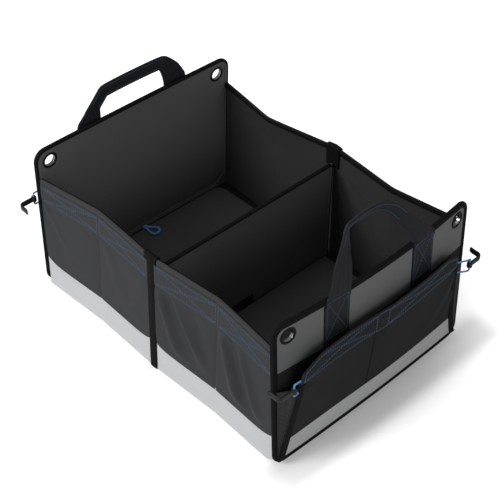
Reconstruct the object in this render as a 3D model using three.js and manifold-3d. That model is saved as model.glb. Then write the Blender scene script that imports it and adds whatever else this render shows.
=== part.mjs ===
// Collapsible car storage box: two stiff end panels, two creased cloth side walls, a divider,
// two lifting base boards, webbing handles, end pockets with mesh gussets and four cord hooks.
// Millimetres. X runs from the rear end to the front end, Y from left to right, Z up.
// The origin is on the floor, under the foot of the divider.
import * as THREE from 'three';
import { mergeVertices } from 'three/addons/utils/BufferGeometryUtils.js';
import Module from 'manifold-3d';

const wasm = await Module();
wasm.setup();

// Driving dimensions of the shell
const BOX_LENGTH = 575; // between the middles of the two end panels, at the floor
const WALL_SPAN = 426; // over the side walls at the corners
const PANEL_OVERHANG = 5; // of an end panel past the side wall, each side
const PANEL_HEIGHT = 290; // end panel with its binding
const WALL_HEIGHT = 240; // top of the side walls' cloth
const DIVIDER_HEIGHT = 212;
const BAND_HEIGHT = 58; // light-grey cloth round the foot of the box
const PANEL_THICKNESS = 5;
const WALL_THICKNESS = 2.4;
const BOTTOM_THICKNESS = 2.5;
const DIVIDER_THICKNESS = 5;
const LAYER_THICKNESS = 1.4; // outer cloth of pockets and lower bands
const PANEL_CORNER = 22;
const SEAT_GAP = 0.3; // between two pieces that lie on each other

// How the filled-out cloth box stands: ends bow outwards and lean in, walls crease inwards
const FRONT_BOW = 14;
const FRONT_LEAN = 14;
const REAR_BOW = 2;
const REAR_LEAN = 4;
const CREASE_TOP = 17;
const CREASE_FOOT = 6;
const CREASE_KNEE = 212; // above it the right rear crease is pushed in further
const CREASE_PUSH = 9; // by this much at the top of the wall
const WAIST_TOP = 5; // the walls' draw-in at the divider
const WAIST_FOOT = 1;

// Bindings
const TAPE_THICKNESS = 1.3;
const END_TAPE_WIDTH = 10;
const WALL_TAPE_WIDTH = 9;
const DIVIDER_TAPE_WIDTH = 9;
const STRAP_WIDTH = 15; // tape down the middle of each side wall
const STRAP_THICKNESS = 1.6;

// Eyelets
const EYELET_BORE = 21;
const EYELET_FLANGE = 32;
const EYELET_BARREL = 1.4;
const EYELET_FLANGE_THICKNESS = 1.6;
const EYELET_INSET = 30; // centre to the panel's side edge
const EYELET_DROP = 28; // centre to the panel's top edge
const EYELET_SLACK = 0.8; // of the hole in the panel round the barrel
const EYELET_EDGE = 0.8; // rounding of the flange
const EYELET_FACETS = 18;

// Webbing handles
const WEBBING_WIDTH = 50;
const WEBBING_THICKNESS = 2.2;
const HANDLE_SPACING = 192; // between the middles of the two tabs
const TAB_LENGTH = 105; // of webbing sewn down on the end panel
const GRIP_WIDTH = 27; // the webbing folded in half
const GRIP_THICKNESS = 5.5;
const REAR_HANDLE_RISE = 64;
const REAR_GRIP_LENGTH = 140;
const REAR_HANDLE_LEAN = 0;
const FRONT_HANDLE_RISE = 86;
const FRONT_GRIP_LENGTH = 112;
const FRONT_HANDLE_LEAN = -0.32; // run inwards for each millimetre of rise
const KNEE_SHARE = 0.18; // of the rise, below which the webbing still stands upright
const GRIP_CORNER = 10; // cut off each upper corner of the handle
const GRIP_SHOULDER = 14; // the opening stops short of the grip's end by this
const GRIP_EDGE = 4; // rounding of the folded grip's outline

// End pockets
const POCKET_HEIGHT = 222; // top of the hem
const POCKET_FLARE = 23; // hem stands off the panel's middle by this much
const POCKET_FOOT_INSET = 1; // the pocket's foot from the side wall's outside
const POCKET_HEM_INSET = 32; // each end of the hem from the end panel's side edge
const GUSSET_DROP = 64; // top of the gusset below the hem
const GUSSET_THICKNESS = 1;
const GUSSET_FOLD = 5; // the gusset's middle draws in between panel and pocket
const GUSSET_START = 20;
const GUSSET_PANEL_INSET = 1; // sewn to the panel this far in from the pocket's foot
const GUSSET_POCKET_INSET = 3; // and to the pocket this far in from its side edge

// Base boards
const BOARD_THICKNESS = 5;
const BOARD_CLEARANCE = 3.6; // to the side walls' creases, which a board passes as it lifts
const BOARD_CORNER = 20;
const HINGE_OFFSET = 9; // board's hinge line from the divider's middle
const REAR_BOARD_INSET = 10.5; // free edge of the board, from the foot of the end panel
const FRONT_BOARD_INSET = 17.5;
const HINGE_STRAP_WIDTH = 48;
const HINGE_STRAP_HEIGHT = 22;
const HINGE_STRAP_SHIFT = -14; // the strap's middle from the box's middle
const HINGE_STRAP_CORNER = 3;
const HINGE_STRAP_FOOT_CORNER = 1;

// Pull loops
const LOOP_CORD = 4;
const LOOP_LENGTH = 33;
const LOOP_WIDTH = 21;
const LOOP_ROOT_GAP = 0.6;
const LOOP_NECK = 9; // the two strands lie side by side over this length
const LOOP_NECK_SPREAD = 1;
const LOOP_SHOULDER = 1.5; // widest part and its end, as shares of the teardrop's half width
const LOOP_TURN = 0.5;
const LOOP_TURN_WIDTH = 0.85;
const LOOP_STEPS = 34;

// Cord hooks and their elastic
const ELASTIC_CORD = 3;
const ELASTIC_SPAN = 24; // between the loop's two strands
const ELASTIC_DROP = 44; // middle of the loop below the pocket's hem
const ELASTIC_CORNER = 4; // cut off each outer corner of the loop
const ELASTIC_STEPS = 20;
const ELASTIC_REACH = 10; // hook's eye from the pocket's side edge
const REAR_LEFT_REACH = 22; // that elastic is pulled out further
const HOOK_WIDTH = 10;
const HOOK_THICKNESS = 3.6;
const HOOK_ARM = 31; // eye to the outside of the bend
const HOOK_RETURN = 25;
const HOOK_BEND = 7;
const HOOK_EYE_SLACK = 0.7;
const HOOK_EYE_WALL = 2.7;
const HOOK_TIP_TURN = 1.5; // the tip stands out past the arm's end
const HOOK_FACETS = 5;

// Divider tabs
const TAB_WIDTH = 28;
const TAB_THICKNESS = 1.6;
const TAB_LAP = 10; // the tab's inside hangs this far past the divider's top
const TAB_OUTER_DROP = 8;

// Corners of the divider and of its binding
const DIVIDER_CORNER = 9;
const DIVIDER_WINDOW_CORNER = 4;
const DIVIDER_FOOT_CORNER = 2;
const TAPE_END_CORNER = 0.5;

const CUT_MARGIN = 1; // a solid that cuts another runs past it by this

const halfWall = WALL_SPAN / 2;
const tapeReach = SEAT_GAP + TAPE_THICKNESS; // a binding's outer face from the cloth that it holds
const panelHalf = halfWall + PANEL_OVERHANG - tapeReach;
const compartmentMiddle = BOX_LENGTH / 4;
const pocketFootHalf = halfWall - POCKET_FOOT_INSET;
const pocketHemHalf = halfWall + PANEL_OVERHANG - POCKET_HEM_INSET;
const elasticHeight = POCKET_HEIGHT - ELASTIC_DROP;

const COLOURS = {
  cloth: [0x2b2c2f, 0.95],
  lining: [0x26272a, 0.95],
  grey: [0x8b8d90, 0.9],
  band: [0xb9bbbd, 0.9],
  tape: [0x17181a, 0.85],
  webbing: [0x202226, 0.85],
  board: [0x232427, 0.9],
  mesh: [0x1b1c1e, 0.9],
  plastic: [0x1d1e20, 0.45],
  elastic: [0x3c6fae, 0.8],
};

const storageBox = new THREE.Group();
storageBox.name = 'car_storage_box';

/** Adds one named piece in one of the finishes above. */
function addPiece(name, geometry, finish, place = new THREE.Matrix4()) {
  const [color, roughness] = COLOURS[finish];
  const piece = new THREE.Mesh(geometry, new THREE.MeshStandardMaterial({ color, roughness, metalness: 0 }));
  piece.name = name;
  piece.applyMatrix4(place);
  storageBox.add(piece);
}

/** Straight change from a to b as t goes from 0 to 1. */
function mix(a, b, t) {
  return a + (b - a) * t;
}

// Solids

/** Closed volume of an indexed geometry, negative if its faces point in. */
function signedVolume(points, triangles) {
  let volume = 0;
  const corner = [new THREE.Vector3(), new THREE.Vector3(), new THREE.Vector3()];
  for (let i = 0; i < triangles.length; i += 3) {
    corner.forEach((c, k) => c.fromArray(points, 3 * triangles[i + k]));
    volume += corner[0].dot(corner[1].clone().cross(corner[2])) / 6;
  }
  return volume;
}

/** Indexed geometry whose faces point out, from points and triangles in either turn. */
function orientedGeometry(points, triangles) {
  const turned = [...triangles];
  if (signedVolume(points, turned) < 0) turned.reverse();
  const geometry = new THREE.BufferGeometry();
  geometry.setAttribute('position', new THREE.Float32BufferAttribute(points, 3));
  geometry.setIndex(turned);
  return geometry;
}

/** Copy of a closed geometry with shared corners and with its faces out, each point moved first. */
function closedCopy(geometry, move = (x, y, z) => [x, y, z]) {
  const bare = geometry.clone();
  bare.deleteAttribute('normal');
  bare.deleteAttribute('uv');
  const merged = mergeVertices(bare, 1e-4);
  const old = merged.attributes.position.array;
  const points = [];
  for (let i = 0; i < old.length; i += 3) points.push(...move(old[i], old[i + 1], old[i + 2]));
  return orientedGeometry(points, Array.from(merged.index.array));
}

/** Closed sheet between two grids: front and back give a point for u and v in 0..1. */
function sheet(columns, rows, front, back) {
  const points = [];
  for (const side of [front, back]) {
    for (let j = 0; j <= rows; j += 1) {
      for (let i = 0; i <= columns; i += 1) points.push(...side(i / columns, j / rows));
    }
  }
  const layer = (columns + 1) * (rows + 1);
  const at = (k, i, j) => k * layer + j * (columns + 1) + i;
  const triangles = [];
  const quad = (a, b, c, d) => triangles.push(a, b, c, a, c, d);
  for (let j = 0; j < rows; j += 1) {
    for (let i = 0; i < columns; i += 1) {
      quad(at(0, i, j), at(0, i + 1, j), at(0, i + 1, j + 1), at(0, i, j + 1));
      quad(at(1, i, j), at(1, i, j + 1), at(1, i + 1, j + 1), at(1, i + 1, j));
    }
  }
  for (let i = 0; i < columns; i += 1) {
    quad(at(0, i, 0), at(1, i, 0), at(1, i + 1, 0), at(0, i + 1, 0));
    quad(at(0, i, rows), at(0, i + 1, rows), at(1, i + 1, rows), at(1, i, rows));
  }
  for (let j = 0; j < rows; j += 1) {
    quad(at(0, 0, j), at(0, 0, j + 1), at(1, 0, j + 1), at(1, 0, j));
    quad(at(0, columns, j), at(1, columns, j), at(1, columns, j + 1), at(0, columns, j + 1));
  }
  return orientedGeometry(points, triangles);
}

/** Manifold solid of a closed geometry. */
function toSolid(geometry) {
  const merged = closedCopy(geometry);
  return new wasm.Manifold(
    new wasm.Mesh({
      numProp: 3,
      vertProperties: new Float32Array(merged.attributes.position.array),
      triVerts: new Uint32Array(merged.index.array),
    }),
  );
}

/** Geometry of a manifold solid. */
function toGeometry(solid) {
  const mesh = solid.getMesh();
  const geometry = new THREE.BufferGeometry();
  geometry.setAttribute('position', new THREE.Float32BufferAttribute(mesh.vertProperties, 3));
  geometry.setIndex(Array.from(mesh.triVerts));
  return geometry;
}

/** Outline of a rectangle whose four corners are rounded, as a shape or a hole. */
function roundedRectangle(left, low, right, high, lowRadius, highRadius, Kind = THREE.Shape) {
  const outline = new Kind();
  outline.moveTo(left + lowRadius, low);
  outline.lineTo(right - lowRadius, low);
  outline.absarc(right - lowRadius, low + lowRadius, lowRadius, -Math.PI / 2, 0, false);
  outline.lineTo(right, high - highRadius);
  outline.absarc(right - highRadius, high - highRadius, highRadius, 0, Math.PI / 2, false);
  outline.lineTo(left + highRadius, high);
  outline.absarc(left + highRadius, high - highRadius, highRadius, Math.PI / 2, Math.PI, false);
  outline.lineTo(left, low + lowRadius);
  outline.absarc(left + lowRadius, low + lowRadius, lowRadius, Math.PI, 1.5 * Math.PI, false);
  return outline;
}

const ARC_STEPS = 5; // facets in a rounded corner

/** Prism of an outline drawn in Y and Z, between two places along X. */
function prismAcrossX(outline, from, to, steps = ARC_STEPS) {
  const geometry = new THREE.ExtrudeGeometry(outline, {
    depth: to - from,
    bevelEnabled: false,
    curveSegments: steps,
  });
  const turn = new THREE.Matrix4().makeBasis(
    new THREE.Vector3(0, 1, 0),
    new THREE.Vector3(0, 0, 1),
    new THREE.Vector3(1, 0, 0),
  );
  return geometry.applyMatrix4(turn).translate(from, 0, 0);
}

/** Prism of an outline drawn in X and Y, between two heights. */
function prismUp(outline, low, high, steps = ARC_STEPS) {
  const geometry = new THREE.ExtrudeGeometry(outline, {
    depth: high - low,
    bevelEnabled: false,
    curveSegments: steps,
  });
  return geometry.translate(0, 0, low);
}

// Surfaces that everything else follows

const ENDS = [
  { name: 'rear', side: -1, bow: REAR_BOW, lean: REAR_LEAN },
  { name: 'front', side: 1, bow: FRONT_BOW, lean: FRONT_LEAN },
];
const SIDES = [
  { name: 'left', side: -1 },
  { name: 'right', side: 1 },
];

/** Distance of an end panel's middle surface from the box's middle, at a place and height. */
function endReach(end, y, z) {
  return BOX_LENGTH / 2 - (end.lean * z) / PANEL_HEIGHT + end.bow * (1 - (y / panelHalf) ** 2);
}

/** Depth of a side wall's crease at a height: straight, but for the right rear one above its knee. */
function creaseDepth(side, x, z) {
  const straight = mix(CREASE_FOOT, CREASE_TOP, z / WALL_HEIGHT);
  if (side.side < 0 || x > 0) return straight;
  return straight + (CREASE_PUSH * Math.max(0, z - CREASE_KNEE)) / (WALL_HEIGHT - CREASE_KNEE);
}

/** How far a side wall is drawn in at a place along the box and a height. */
function wallInset(side, x, z) {
  const crease = creaseDepth(side, x, z);
  const waist = mix(WAIST_FOOT, WAIST_TOP, z / WALL_HEIGHT);
  const reach = Math.abs(x) / compartmentMiddle;
  return reach < 1 ? mix(waist, crease, reach) : crease * Math.max(0, 2 - reach);
}

/** Distance of a side wall's middle surface from the box's middle plane. */
function wallReach(side, x, z) {
  return halfWall - WALL_THICKNESS / 2 - wallInset(side, x, z);
}

/** X of the line where a side wall stops at an end panel's binding, less a seat. */
function wallStop(end, z) {
  return end.side * (endReach(end, halfWall, z) - PANEL_THICKNESS / 2 - tapeReach - 2 * SEAT_GAP);
}

const SLAB_COLUMNS = 10;
const SLAB_MARGIN = 12;

/** Bowed slab along an end panel, between two distances from the panel's middle surface. */
function endSlab(end, near, far, top = PANEL_HEIGHT + SLAB_MARGIN) {
  const half = panelHalf + SLAB_MARGIN;
  const place = (offset) => (u, v) => {
    const y = mix(-half, half, u);
    const z = mix(-SLAB_MARGIN, top, v);
    return [end.side * (endReach(end, y, z) + offset), y, z];
  };
  return toSolid(sheet(SLAB_COLUMNS, 1, place(far), place(near)));
}

/** Prism through the whole of one end, from an outline in Y and Z. */
function throughEnd(end, outline, steps) {
  const reach = FRONT_HANDLE_RISE + SLAB_MARGIN;
  const near = BOX_LENGTH / 2 - reach;
  const far = BOX_LENGTH / 2 + reach;
  return toSolid(
    end.side > 0 ? prismAcrossX(outline, near, far, steps) : prismAcrossX(outline, -far, -near, steps),
  );
}

const KNOT_SPACING = compartmentMiddle / 4; // the walls' columns, so that creases fall on one
const ROW_SPACING = WALL_HEIGHT / 4; // the walls' rows, with more at the crease's knee and the binding
const KNOT_CLEAR = 3;

/** Places along X where a stretch of side wall has a column, its own two ends not counted. */
function wallKnots(from, to) {
  const first = Math.ceil((from + KNOT_CLEAR) / KNOT_SPACING);
  const knots = [];
  for (let k = first; k * KNOT_SPACING < to - KNOT_CLEAR; k += 1) knots.push(k * KNOT_SPACING);
  return knots;
}

/** Heights where a stretch of side wall has a row, from its lower edge to its upper one. */
function wallRows(low, high) {
  const rows = [CREASE_KNEE, WALL_HEIGHT - WALL_TAPE_WIDTH];
  for (let z = ROW_SPACING; z < high; z += ROW_SPACING) rows.push(z);
  const inside = rows.filter((z) => z > low + KNOT_CLEAR && z < high - KNOT_CLEAR);
  return [low, ...inside.sort((a, b) => a - b), high];
}

/** Sheet that follows a side wall from rear to front, between two distances from its middle and two heights. */
function wallSheet(side, near, far, low, high, start, stop) {
  const knots = wallKnots(start(low), stop(low));
  const columns = knots.length + 1;
  const heights = wallRows(low, high);
  const rows = heights.length - 1;
  const place = (offset) => (u, v) => {
    const z = heights[Math.round(v * rows)];
    const x = [start(z), ...knots, stop(z)][Math.round(u * columns)];
    return [x, side.side * (wallReach(side, x, z) + offset), z];
  };
  return sheet(columns, rows, place(far), place(near));
}

// End panels with their bindings and eyelets

const eyeletY = halfWall + PANEL_OVERHANG - EYELET_INSET;
const eyeletZ = PANEL_HEIGHT - EYELET_DROP;

/** Outline of the end panel's board, grown by a margin. */
function panelOutline(margin) {
  const half = panelHalf + margin;
  const low = tapeReach - margin;
  const high = PANEL_HEIGHT - tapeReach + margin;
  return roundedRectangle(-half, low, half, high, PANEL_CORNER, PANEL_CORNER);
}

/** Stiff end panel with a hole for each eyelet. */
function endPanel(end) {
  const outline = panelOutline(0);
  const radius = EYELET_BORE / 2 + EYELET_BARREL + EYELET_SLACK;
  for (const y of [-eyeletY, eyeletY]) {
    outline.holes.push(new THREE.Path().absarc(y, eyeletZ, radius, 0, 2 * Math.PI, true));
  }
  const slab = endSlab(end, -PANEL_THICKNESS / 2, PANEL_THICKNESS / 2);
  return toGeometry(slab.intersect(throughEnd(end, outline, 12)));
}

/** Binding tape folded over the whole edge of an end panel. */
function endBinding(end) {
  const outline = panelOutline(tapeReach);
  const half = panelHalf + tapeReach - END_TAPE_WIDTH;
  const radius = PANEL_CORNER - END_TAPE_WIDTH;
  outline.holes.push(
    roundedRectangle(-half, END_TAPE_WIDTH, half, PANEL_HEIGHT - END_TAPE_WIDTH, radius, radius, THREE.Path),
  );
  const outer = PANEL_THICKNESS / 2 + tapeReach;
  const inner = PANEL_THICKNESS / 2 + SEAT_GAP;
  const tape = endSlab(end, -outer, outer).intersect(throughEnd(end, outline));
  const held = endSlab(end, -inner, inner).intersect(throughEnd(end, panelOutline(SEAT_GAP)));
  return toGeometry(tape.subtract(held));
}

/** Eyelet: a barrel with a rounded flange on each face of the panel, turned about X. */
function eyelet() {
  const bore = EYELET_BORE / 2;
  const barrel = bore + EYELET_BARREL;
  const flange = EYELET_FLANGE / 2;
  const seat = PANEL_THICKNESS / 2 + SEAT_GAP;
  const face = seat + EYELET_FLANGE_THICKNESS;
  const edge = EYELET_EDGE;
  const half = [
    [barrel, seat],
    [flange, seat],
    [flange - edge, face - edge / 2],
    [bore + edge, face],
    [bore, face - edge],
  ];
  const mirrored = half.map(([r, x]) => [r, -x]).reverse();
  const profile = [...half, ...mirrored, half[0]].map(([r, x]) => new THREE.Vector2(r, x));
  return closedCopy(new THREE.LatheGeometry(profile, EYELET_FACETS));
}

/** Places an eyelet square to the bowed panel. */
function eyeletPlace(end, y) {
  const slope = (2 * end.bow * y) / panelHalf ** 2;
  const normal = new THREE.Vector3(end.side, slope, end.lean / PANEL_HEIGHT).normalize();
  const turn = new THREE.Quaternion().setFromUnitVectors(new THREE.Vector3(0, 1, 0), normal);
  const centre = new THREE.Vector3(end.side * endReach(end, y, eyeletZ), y, eyeletZ);
  return new THREE.Matrix4().compose(centre, turn, new THREE.Vector3(1, 1, 1));
}

// Webbing handles

const strapSeat = PANEL_THICKNESS / 2 + tapeReach + SEAT_GAP; // a tab's back from the panel's middle

/** Slab that lies on the panel's outer face and leans over once it is past the top edge. */
function handleSlab(end, lean, near, far) {
  const bend = PANEL_HEIGHT + SEAT_GAP;
  const low = PANEL_HEIGHT - TAB_LENGTH - SLAB_MARGIN;
  const high = PANEL_HEIGHT + FRONT_HANDLE_RISE + SLAB_MARGIN;
  const half = HANDLE_SPACING / 2 + WEBBING_WIDTH;
  const heights = [low, bend, high];
  const place = (offset) => (u, v) => {
    const y = mix(-half, half, u);
    const z = heights[Math.round(v * 2)];
    const reach = endReach(end, y, Math.min(z, bend)) + lean * Math.max(0, z - bend);
    return [end.side * (reach + offset), y, z];
  };
  return toSolid(sheet(SLAB_COLUMNS, 2, place(far), place(near)));
}

/** Handle: two tabs of flat webbing that rise and narrow into a folded grip. */
function handle(end, rise, gripLength, lean) {
  const inner = (HANDLE_SPACING - WEBBING_WIDTH) / 2;
  const outer = (HANDLE_SPACING + WEBBING_WIDTH) / 2;
  const foot = PANEL_HEIGHT - TAB_LENGTH;
  const top = PANEL_HEIGHT + rise;
  const knee = PANEL_HEIGHT + rise * KNEE_SHARE;
  const corner = gripLength / 2;
  const under = top - GRIP_WIDTH;
  const webbing = new THREE.Shape();
  webbing.moveTo(-outer, foot);
  webbing.lineTo(-outer, knee);
  webbing.lineTo(-corner, top - GRIP_CORNER);
  webbing.quadraticCurveTo(-corner, top, GRIP_CORNER - corner, top);
  webbing.lineTo(corner - GRIP_CORNER, top);
  webbing.quadraticCurveTo(corner, top, corner, top - GRIP_CORNER);
  webbing.lineTo(outer, knee);
  webbing.lineTo(outer, foot);
  webbing.lineTo(inner, foot);
  webbing.lineTo(inner, knee);
  webbing.lineTo(corner - GRIP_SHOULDER, under);
  webbing.lineTo(GRIP_SHOULDER - corner, under);
  webbing.lineTo(-inner, knee);
  webbing.lineTo(-inner, foot);
  webbing.closePath();
  const gripEnd = corner - GRIP_EDGE;
  const grip = roundedRectangle(-gripEnd, under, gripEnd, top, GRIP_EDGE, GRIP_EDGE);
  const flat = handleSlab(end, lean, strapSeat, strapSeat + WEBBING_THICKNESS).intersect(
    throughEnd(end, webbing, 4),
  );
  const middle = strapSeat + WEBBING_THICKNESS / 2;
  const folded = handleSlab(end, lean, middle - GRIP_THICKNESS / 2, middle + GRIP_THICKNESS / 2).intersect(
    throughEnd(end, grip, 3),
  );
  return toGeometry(flat.add(folded));
}

// Side walls, their bindings, straps, pockets and lower bands

const wallFace = WALL_THICKNESS / 2;
const layerBack = wallFace + SEAT_GAP;
const layerFace = layerBack + LAYER_THICKNESS;
const rearEnd = ENDS[0];
const frontEnd = ENDS[1];

/** Creased cloth wall from the rear end to the front end. */
function sideWall(side) {
  return wallSheet(
    side, -wallFace, wallFace, SEAT_GAP, WALL_HEIGHT,
    (z) => wallStop(rearEnd, z), (z) => wallStop(frontEnd, z),
  );
}

/** Binding folded over the top edge of a side wall. */
function wallBinding(side) {
  const start = (z) => wallStop(rearEnd, z);
  const stop = (z) => wallStop(frontEnd, z);
  const low = WALL_HEIGHT - WALL_TAPE_WIDTH;
  const reach = wallFace + tapeReach;
  const slot = wallFace + SEAT_GAP;
  const tape = toSolid(
    wallSheet(side, -reach, reach, low, WALL_HEIGHT + tapeReach, start, stop),
  );
  const past = (place, by) => (z) => place(z) + by;
  const held = toSolid(
    wallSheet(
      side, -slot, slot, low - CUT_MARGIN, WALL_HEIGHT + SEAT_GAP,
      past(start, -CUT_MARGIN), past(stop, CUT_MARGIN),
    ),
  );
  return toGeometry(tape.subtract(held));
}

/** Tape sewn down the outside of a side wall at the divider. */
function middleStrap(side) {
  const top = WALL_HEIGHT - WALL_TAPE_WIDTH - SEAT_GAP;
  const half = STRAP_WIDTH / 2;
  return wallSheet(side, layerBack, layerBack + STRAP_THICKNESS, 0, top, () => -half, () => half);
}

const strapClear = STRAP_WIDTH / 2 + SEAT_GAP;

/** Outer cloth over one compartment's half of a side wall, between two heights. */
function wallLayer(side, end, low, high) {
  const inner = () => end.side * strapClear;
  const outer = (z) => wallStop(end, z);
  return end.side < 0
    ? wallSheet(side, layerBack, layerFace, low, high, outer, inner)
    : wallSheet(side, layerBack, layerFace, low, high, inner, outer);
}

// Bottom cloth

/** Bottom cloth inside the walls, which stand alike at the floor, its ends cut to the end panels' bow. */
function bottomCloth() {
  const inner = PANEL_THICKNESS / 2 + tapeReach + SEAT_GAP;
  const knots = wallKnots(wallStop(rearEnd, 0), wallStop(frontEnd, 0));
  const columns = knots.length + 1;
  const edge = (height) => (u, v) => {
    const column = Math.round(u * columns);
    const corner = [wallStop(rearEnd, 0), ...knots, wallStop(frontEnd, 0)][column];
    const half = halfWall - wallInset(SIDES[0], corner, 0) - WALL_THICKNESS - 2 * SEAT_GAP;
    const y = mix(-half, half, v);
    if (column === 0) return [-endReach(rearEnd, y, 0) + inner, y, height];
    if (column === columns) return [endReach(frontEnd, y, 0) - inner, y, height];
    return [corner, y, height];
  };
  return sheet(columns, SLAB_COLUMNS, edge(BOTTOM_THICKNESS), edge(0));
}

// Divider

const floorTop = BOTTOM_THICKNESS + SEAT_GAP;
const tabBack = wallFace + tapeReach + SEAT_GAP; // a divider tab's back from the wall's middle
const dividerHalf = wallReach(SIDES[0], 0, WALL_HEIGHT) - tabBack - TAB_THICKNESS - SEAT_GAP;

/** Divider board between the two compartments. */
function dividerPanel() {
  const half = dividerHalf - tapeReach;
  const top = DIVIDER_HEIGHT - tapeReach;
  const outline = roundedRectangle(-half, floorTop, half, top, DIVIDER_FOOT_CORNER, DIVIDER_CORNER - tapeReach);
  return prismAcrossX(outline, -DIVIDER_THICKNESS / 2, DIVIDER_THICKNESS / 2);
}

/** Prism across the divider, from the floor or below it up to a height, with rounded upper corners. */
function dividerBlock(half, low, high, corner, reach) {
  return toSolid(prismAcrossX(roundedRectangle(-half, low, half, high, TAPE_END_CORNER, corner), -reach, reach));
}

/** Binding folded over the divider's top and two upright edges. */
function dividerBinding() {
  const reach = DIVIDER_THICKNESS / 2 + tapeReach;
  const slot = DIVIDER_THICKNESS / 2 + SEAT_GAP;
  const open = dividerHalf - DIVIDER_TAPE_WIDTH;
  const held = dividerHalf - TAPE_THICKNESS;
  const below = floorTop - CUT_MARGIN;
  const windowTop = DIVIDER_HEIGHT - DIVIDER_TAPE_WIDTH;
  const heldTop = DIVIDER_HEIGHT - TAPE_THICKNESS;
  const tape = dividerBlock(dividerHalf, floorTop, DIVIDER_HEIGHT, DIVIDER_CORNER, reach);
  const window = dividerBlock(open, below, windowTop, DIVIDER_WINDOW_CORNER, reach + CUT_MARGIN);
  const board = dividerBlock(held, below, heldTop, DIVIDER_CORNER - TAPE_THICKNESS, slot);
  return toGeometry(tape.subtract(window).subtract(board));
}

/** Webbing tab that hangs the divider over the top edge of a side wall. */
function dividerTab(side) {
  const half = TAB_WIDTH / 2;
  const wide = half + CUT_MARGIN;
  const top = WALL_HEIGHT + tapeReach + SEAT_GAP;
  const low = DIVIDER_HEIGHT - TAB_LAP;
  const outer = tabBack + TAB_THICKNESS;
  const stretch = (near, far, from, to, reach) =>
    toSolid(wallSheet(side, near, far, from, to, () => -reach, () => reach));
  const block = stretch(-outer, outer, low, top + TAB_THICKNESS, half);
  const slot = stretch(-tabBack, tabBack, low - CUT_MARGIN, top, wide);
  const below = stretch(tabBack - SEAT_GAP, outer + CUT_MARGIN, low - CUT_MARGIN, top - TAB_OUTER_DROP, wide);
  return toGeometry(block.subtract(slot).subtract(below));
}

// End pockets: front cloth, light-grey foot and mesh gussets

const pocketFoot = END_TAPE_WIDTH + SEAT_GAP;
const pocketSeat = PANEL_THICKNESS / 2 + tapeReach + SEAT_GAP; // pocket's back at its foot

/** How far up the pocket a height is, from 0 at its foot to 1 at its hem. */
function pocketRise(z) {
  return Math.max(0, (z - pocketFoot) / (POCKET_HEIGHT - pocketFoot)) ** 0.9;
}

/** Half of the pocket's width at a height. */
function pocketHalf(z) {
  return mix(pocketFootHalf, pocketHemHalf, pocketRise(z));
}

/** Distance of the pocket front's back face from the box's middle. */
function pocketReach(end, y, z) {
  const foot = endReach(end, y, z) + pocketSeat;
  const hem = endReach(end, 0, POCKET_HEIGHT) + POCKET_FLARE;
  return mix(foot, hem, pocketRise(z));
}

/** One stretch of the pocket's front cloth, between two heights. */
function pocketSheet(end, low, high, rows) {
  const place = (offset) => (u, v) => {
    const z = mix(low, high, v);
    const y = mix(-1, 1, u) * pocketHalf(z);
    return [end.side * (pocketReach(end, y, z) + offset), y, z];
  };
  return sheet(12, rows, place(LAYER_THICKNESS), place(0));
}

/** Mesh gusset from the panel's edge to the pocket's side edge. */
function gusset(end, side) {
  const place = (offset) => (u, v) => {
    const z = mix(GUSSET_START, POCKET_HEIGHT - GUSSET_DROP, v);
    const yPanel = pocketFootHalf - GUSSET_PANEL_INSET;
    const xPanel = endReach(end, yPanel, z) + pocketSeat;
    const yPocket = pocketHalf(z) - GUSSET_POCKET_INSET;
    const xPocket = pocketReach(end, yPocket, z) - SEAT_GAP;
    const fold = GUSSET_FOLD * v * (1 - Math.abs(2 * u - 1));
    const x = mix(xPanel, xPocket, u);
    const y = mix(yPanel, yPocket, u) - fold + offset;
    return [end.side * x, side.side * y, z];
  };
  return sheet(4, 3, place(GUSSET_THICKNESS / 2), place(-GUSSET_THICKNESS / 2));
}

// Base boards with their pull loops and hinge straps

const boardLow = floorTop;
const boardTop = boardLow + BOARD_THICKNESS;
const hingeHeight = boardLow + BOARD_THICKNESS / 2;
const boardHalf = halfWall - WALL_THICKNESS - CREASE_TOP - BOARD_CLEARANCE;

/** Board that covers one compartment's floor, with a half-round edge on its hinge line. */
function baseBoard(end, boardEnd) {
  const hinge = end.side * HINGE_OFFSET;
  const outline = roundedRectangle(-boardEnd, -boardHalf, boardEnd, boardHalf, BOARD_CORNER, BOARD_CORNER);
  const plate = toSolid(prismUp(outline, boardLow, boardTop));
  const length = boardEnd - HINGE_OFFSET + CUT_MARGIN;
  const keep = new THREE.BoxGeometry(length, 2 * (boardHalf + CUT_MARGIN), 2 * BOARD_THICKNESS);
  keep.translate(hinge + (end.side * length) / 2, 0, hingeHeight);
  const edge = new THREE.CylinderGeometry(BOARD_THICKNESS / 2, BOARD_THICKNESS / 2, 2 * boardHalf, 12);
  edge.translate(hinge, 0, hingeHeight);
  return toGeometry(plate.intersect(toSolid(keep)).add(toSolid(edge)));
}

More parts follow.
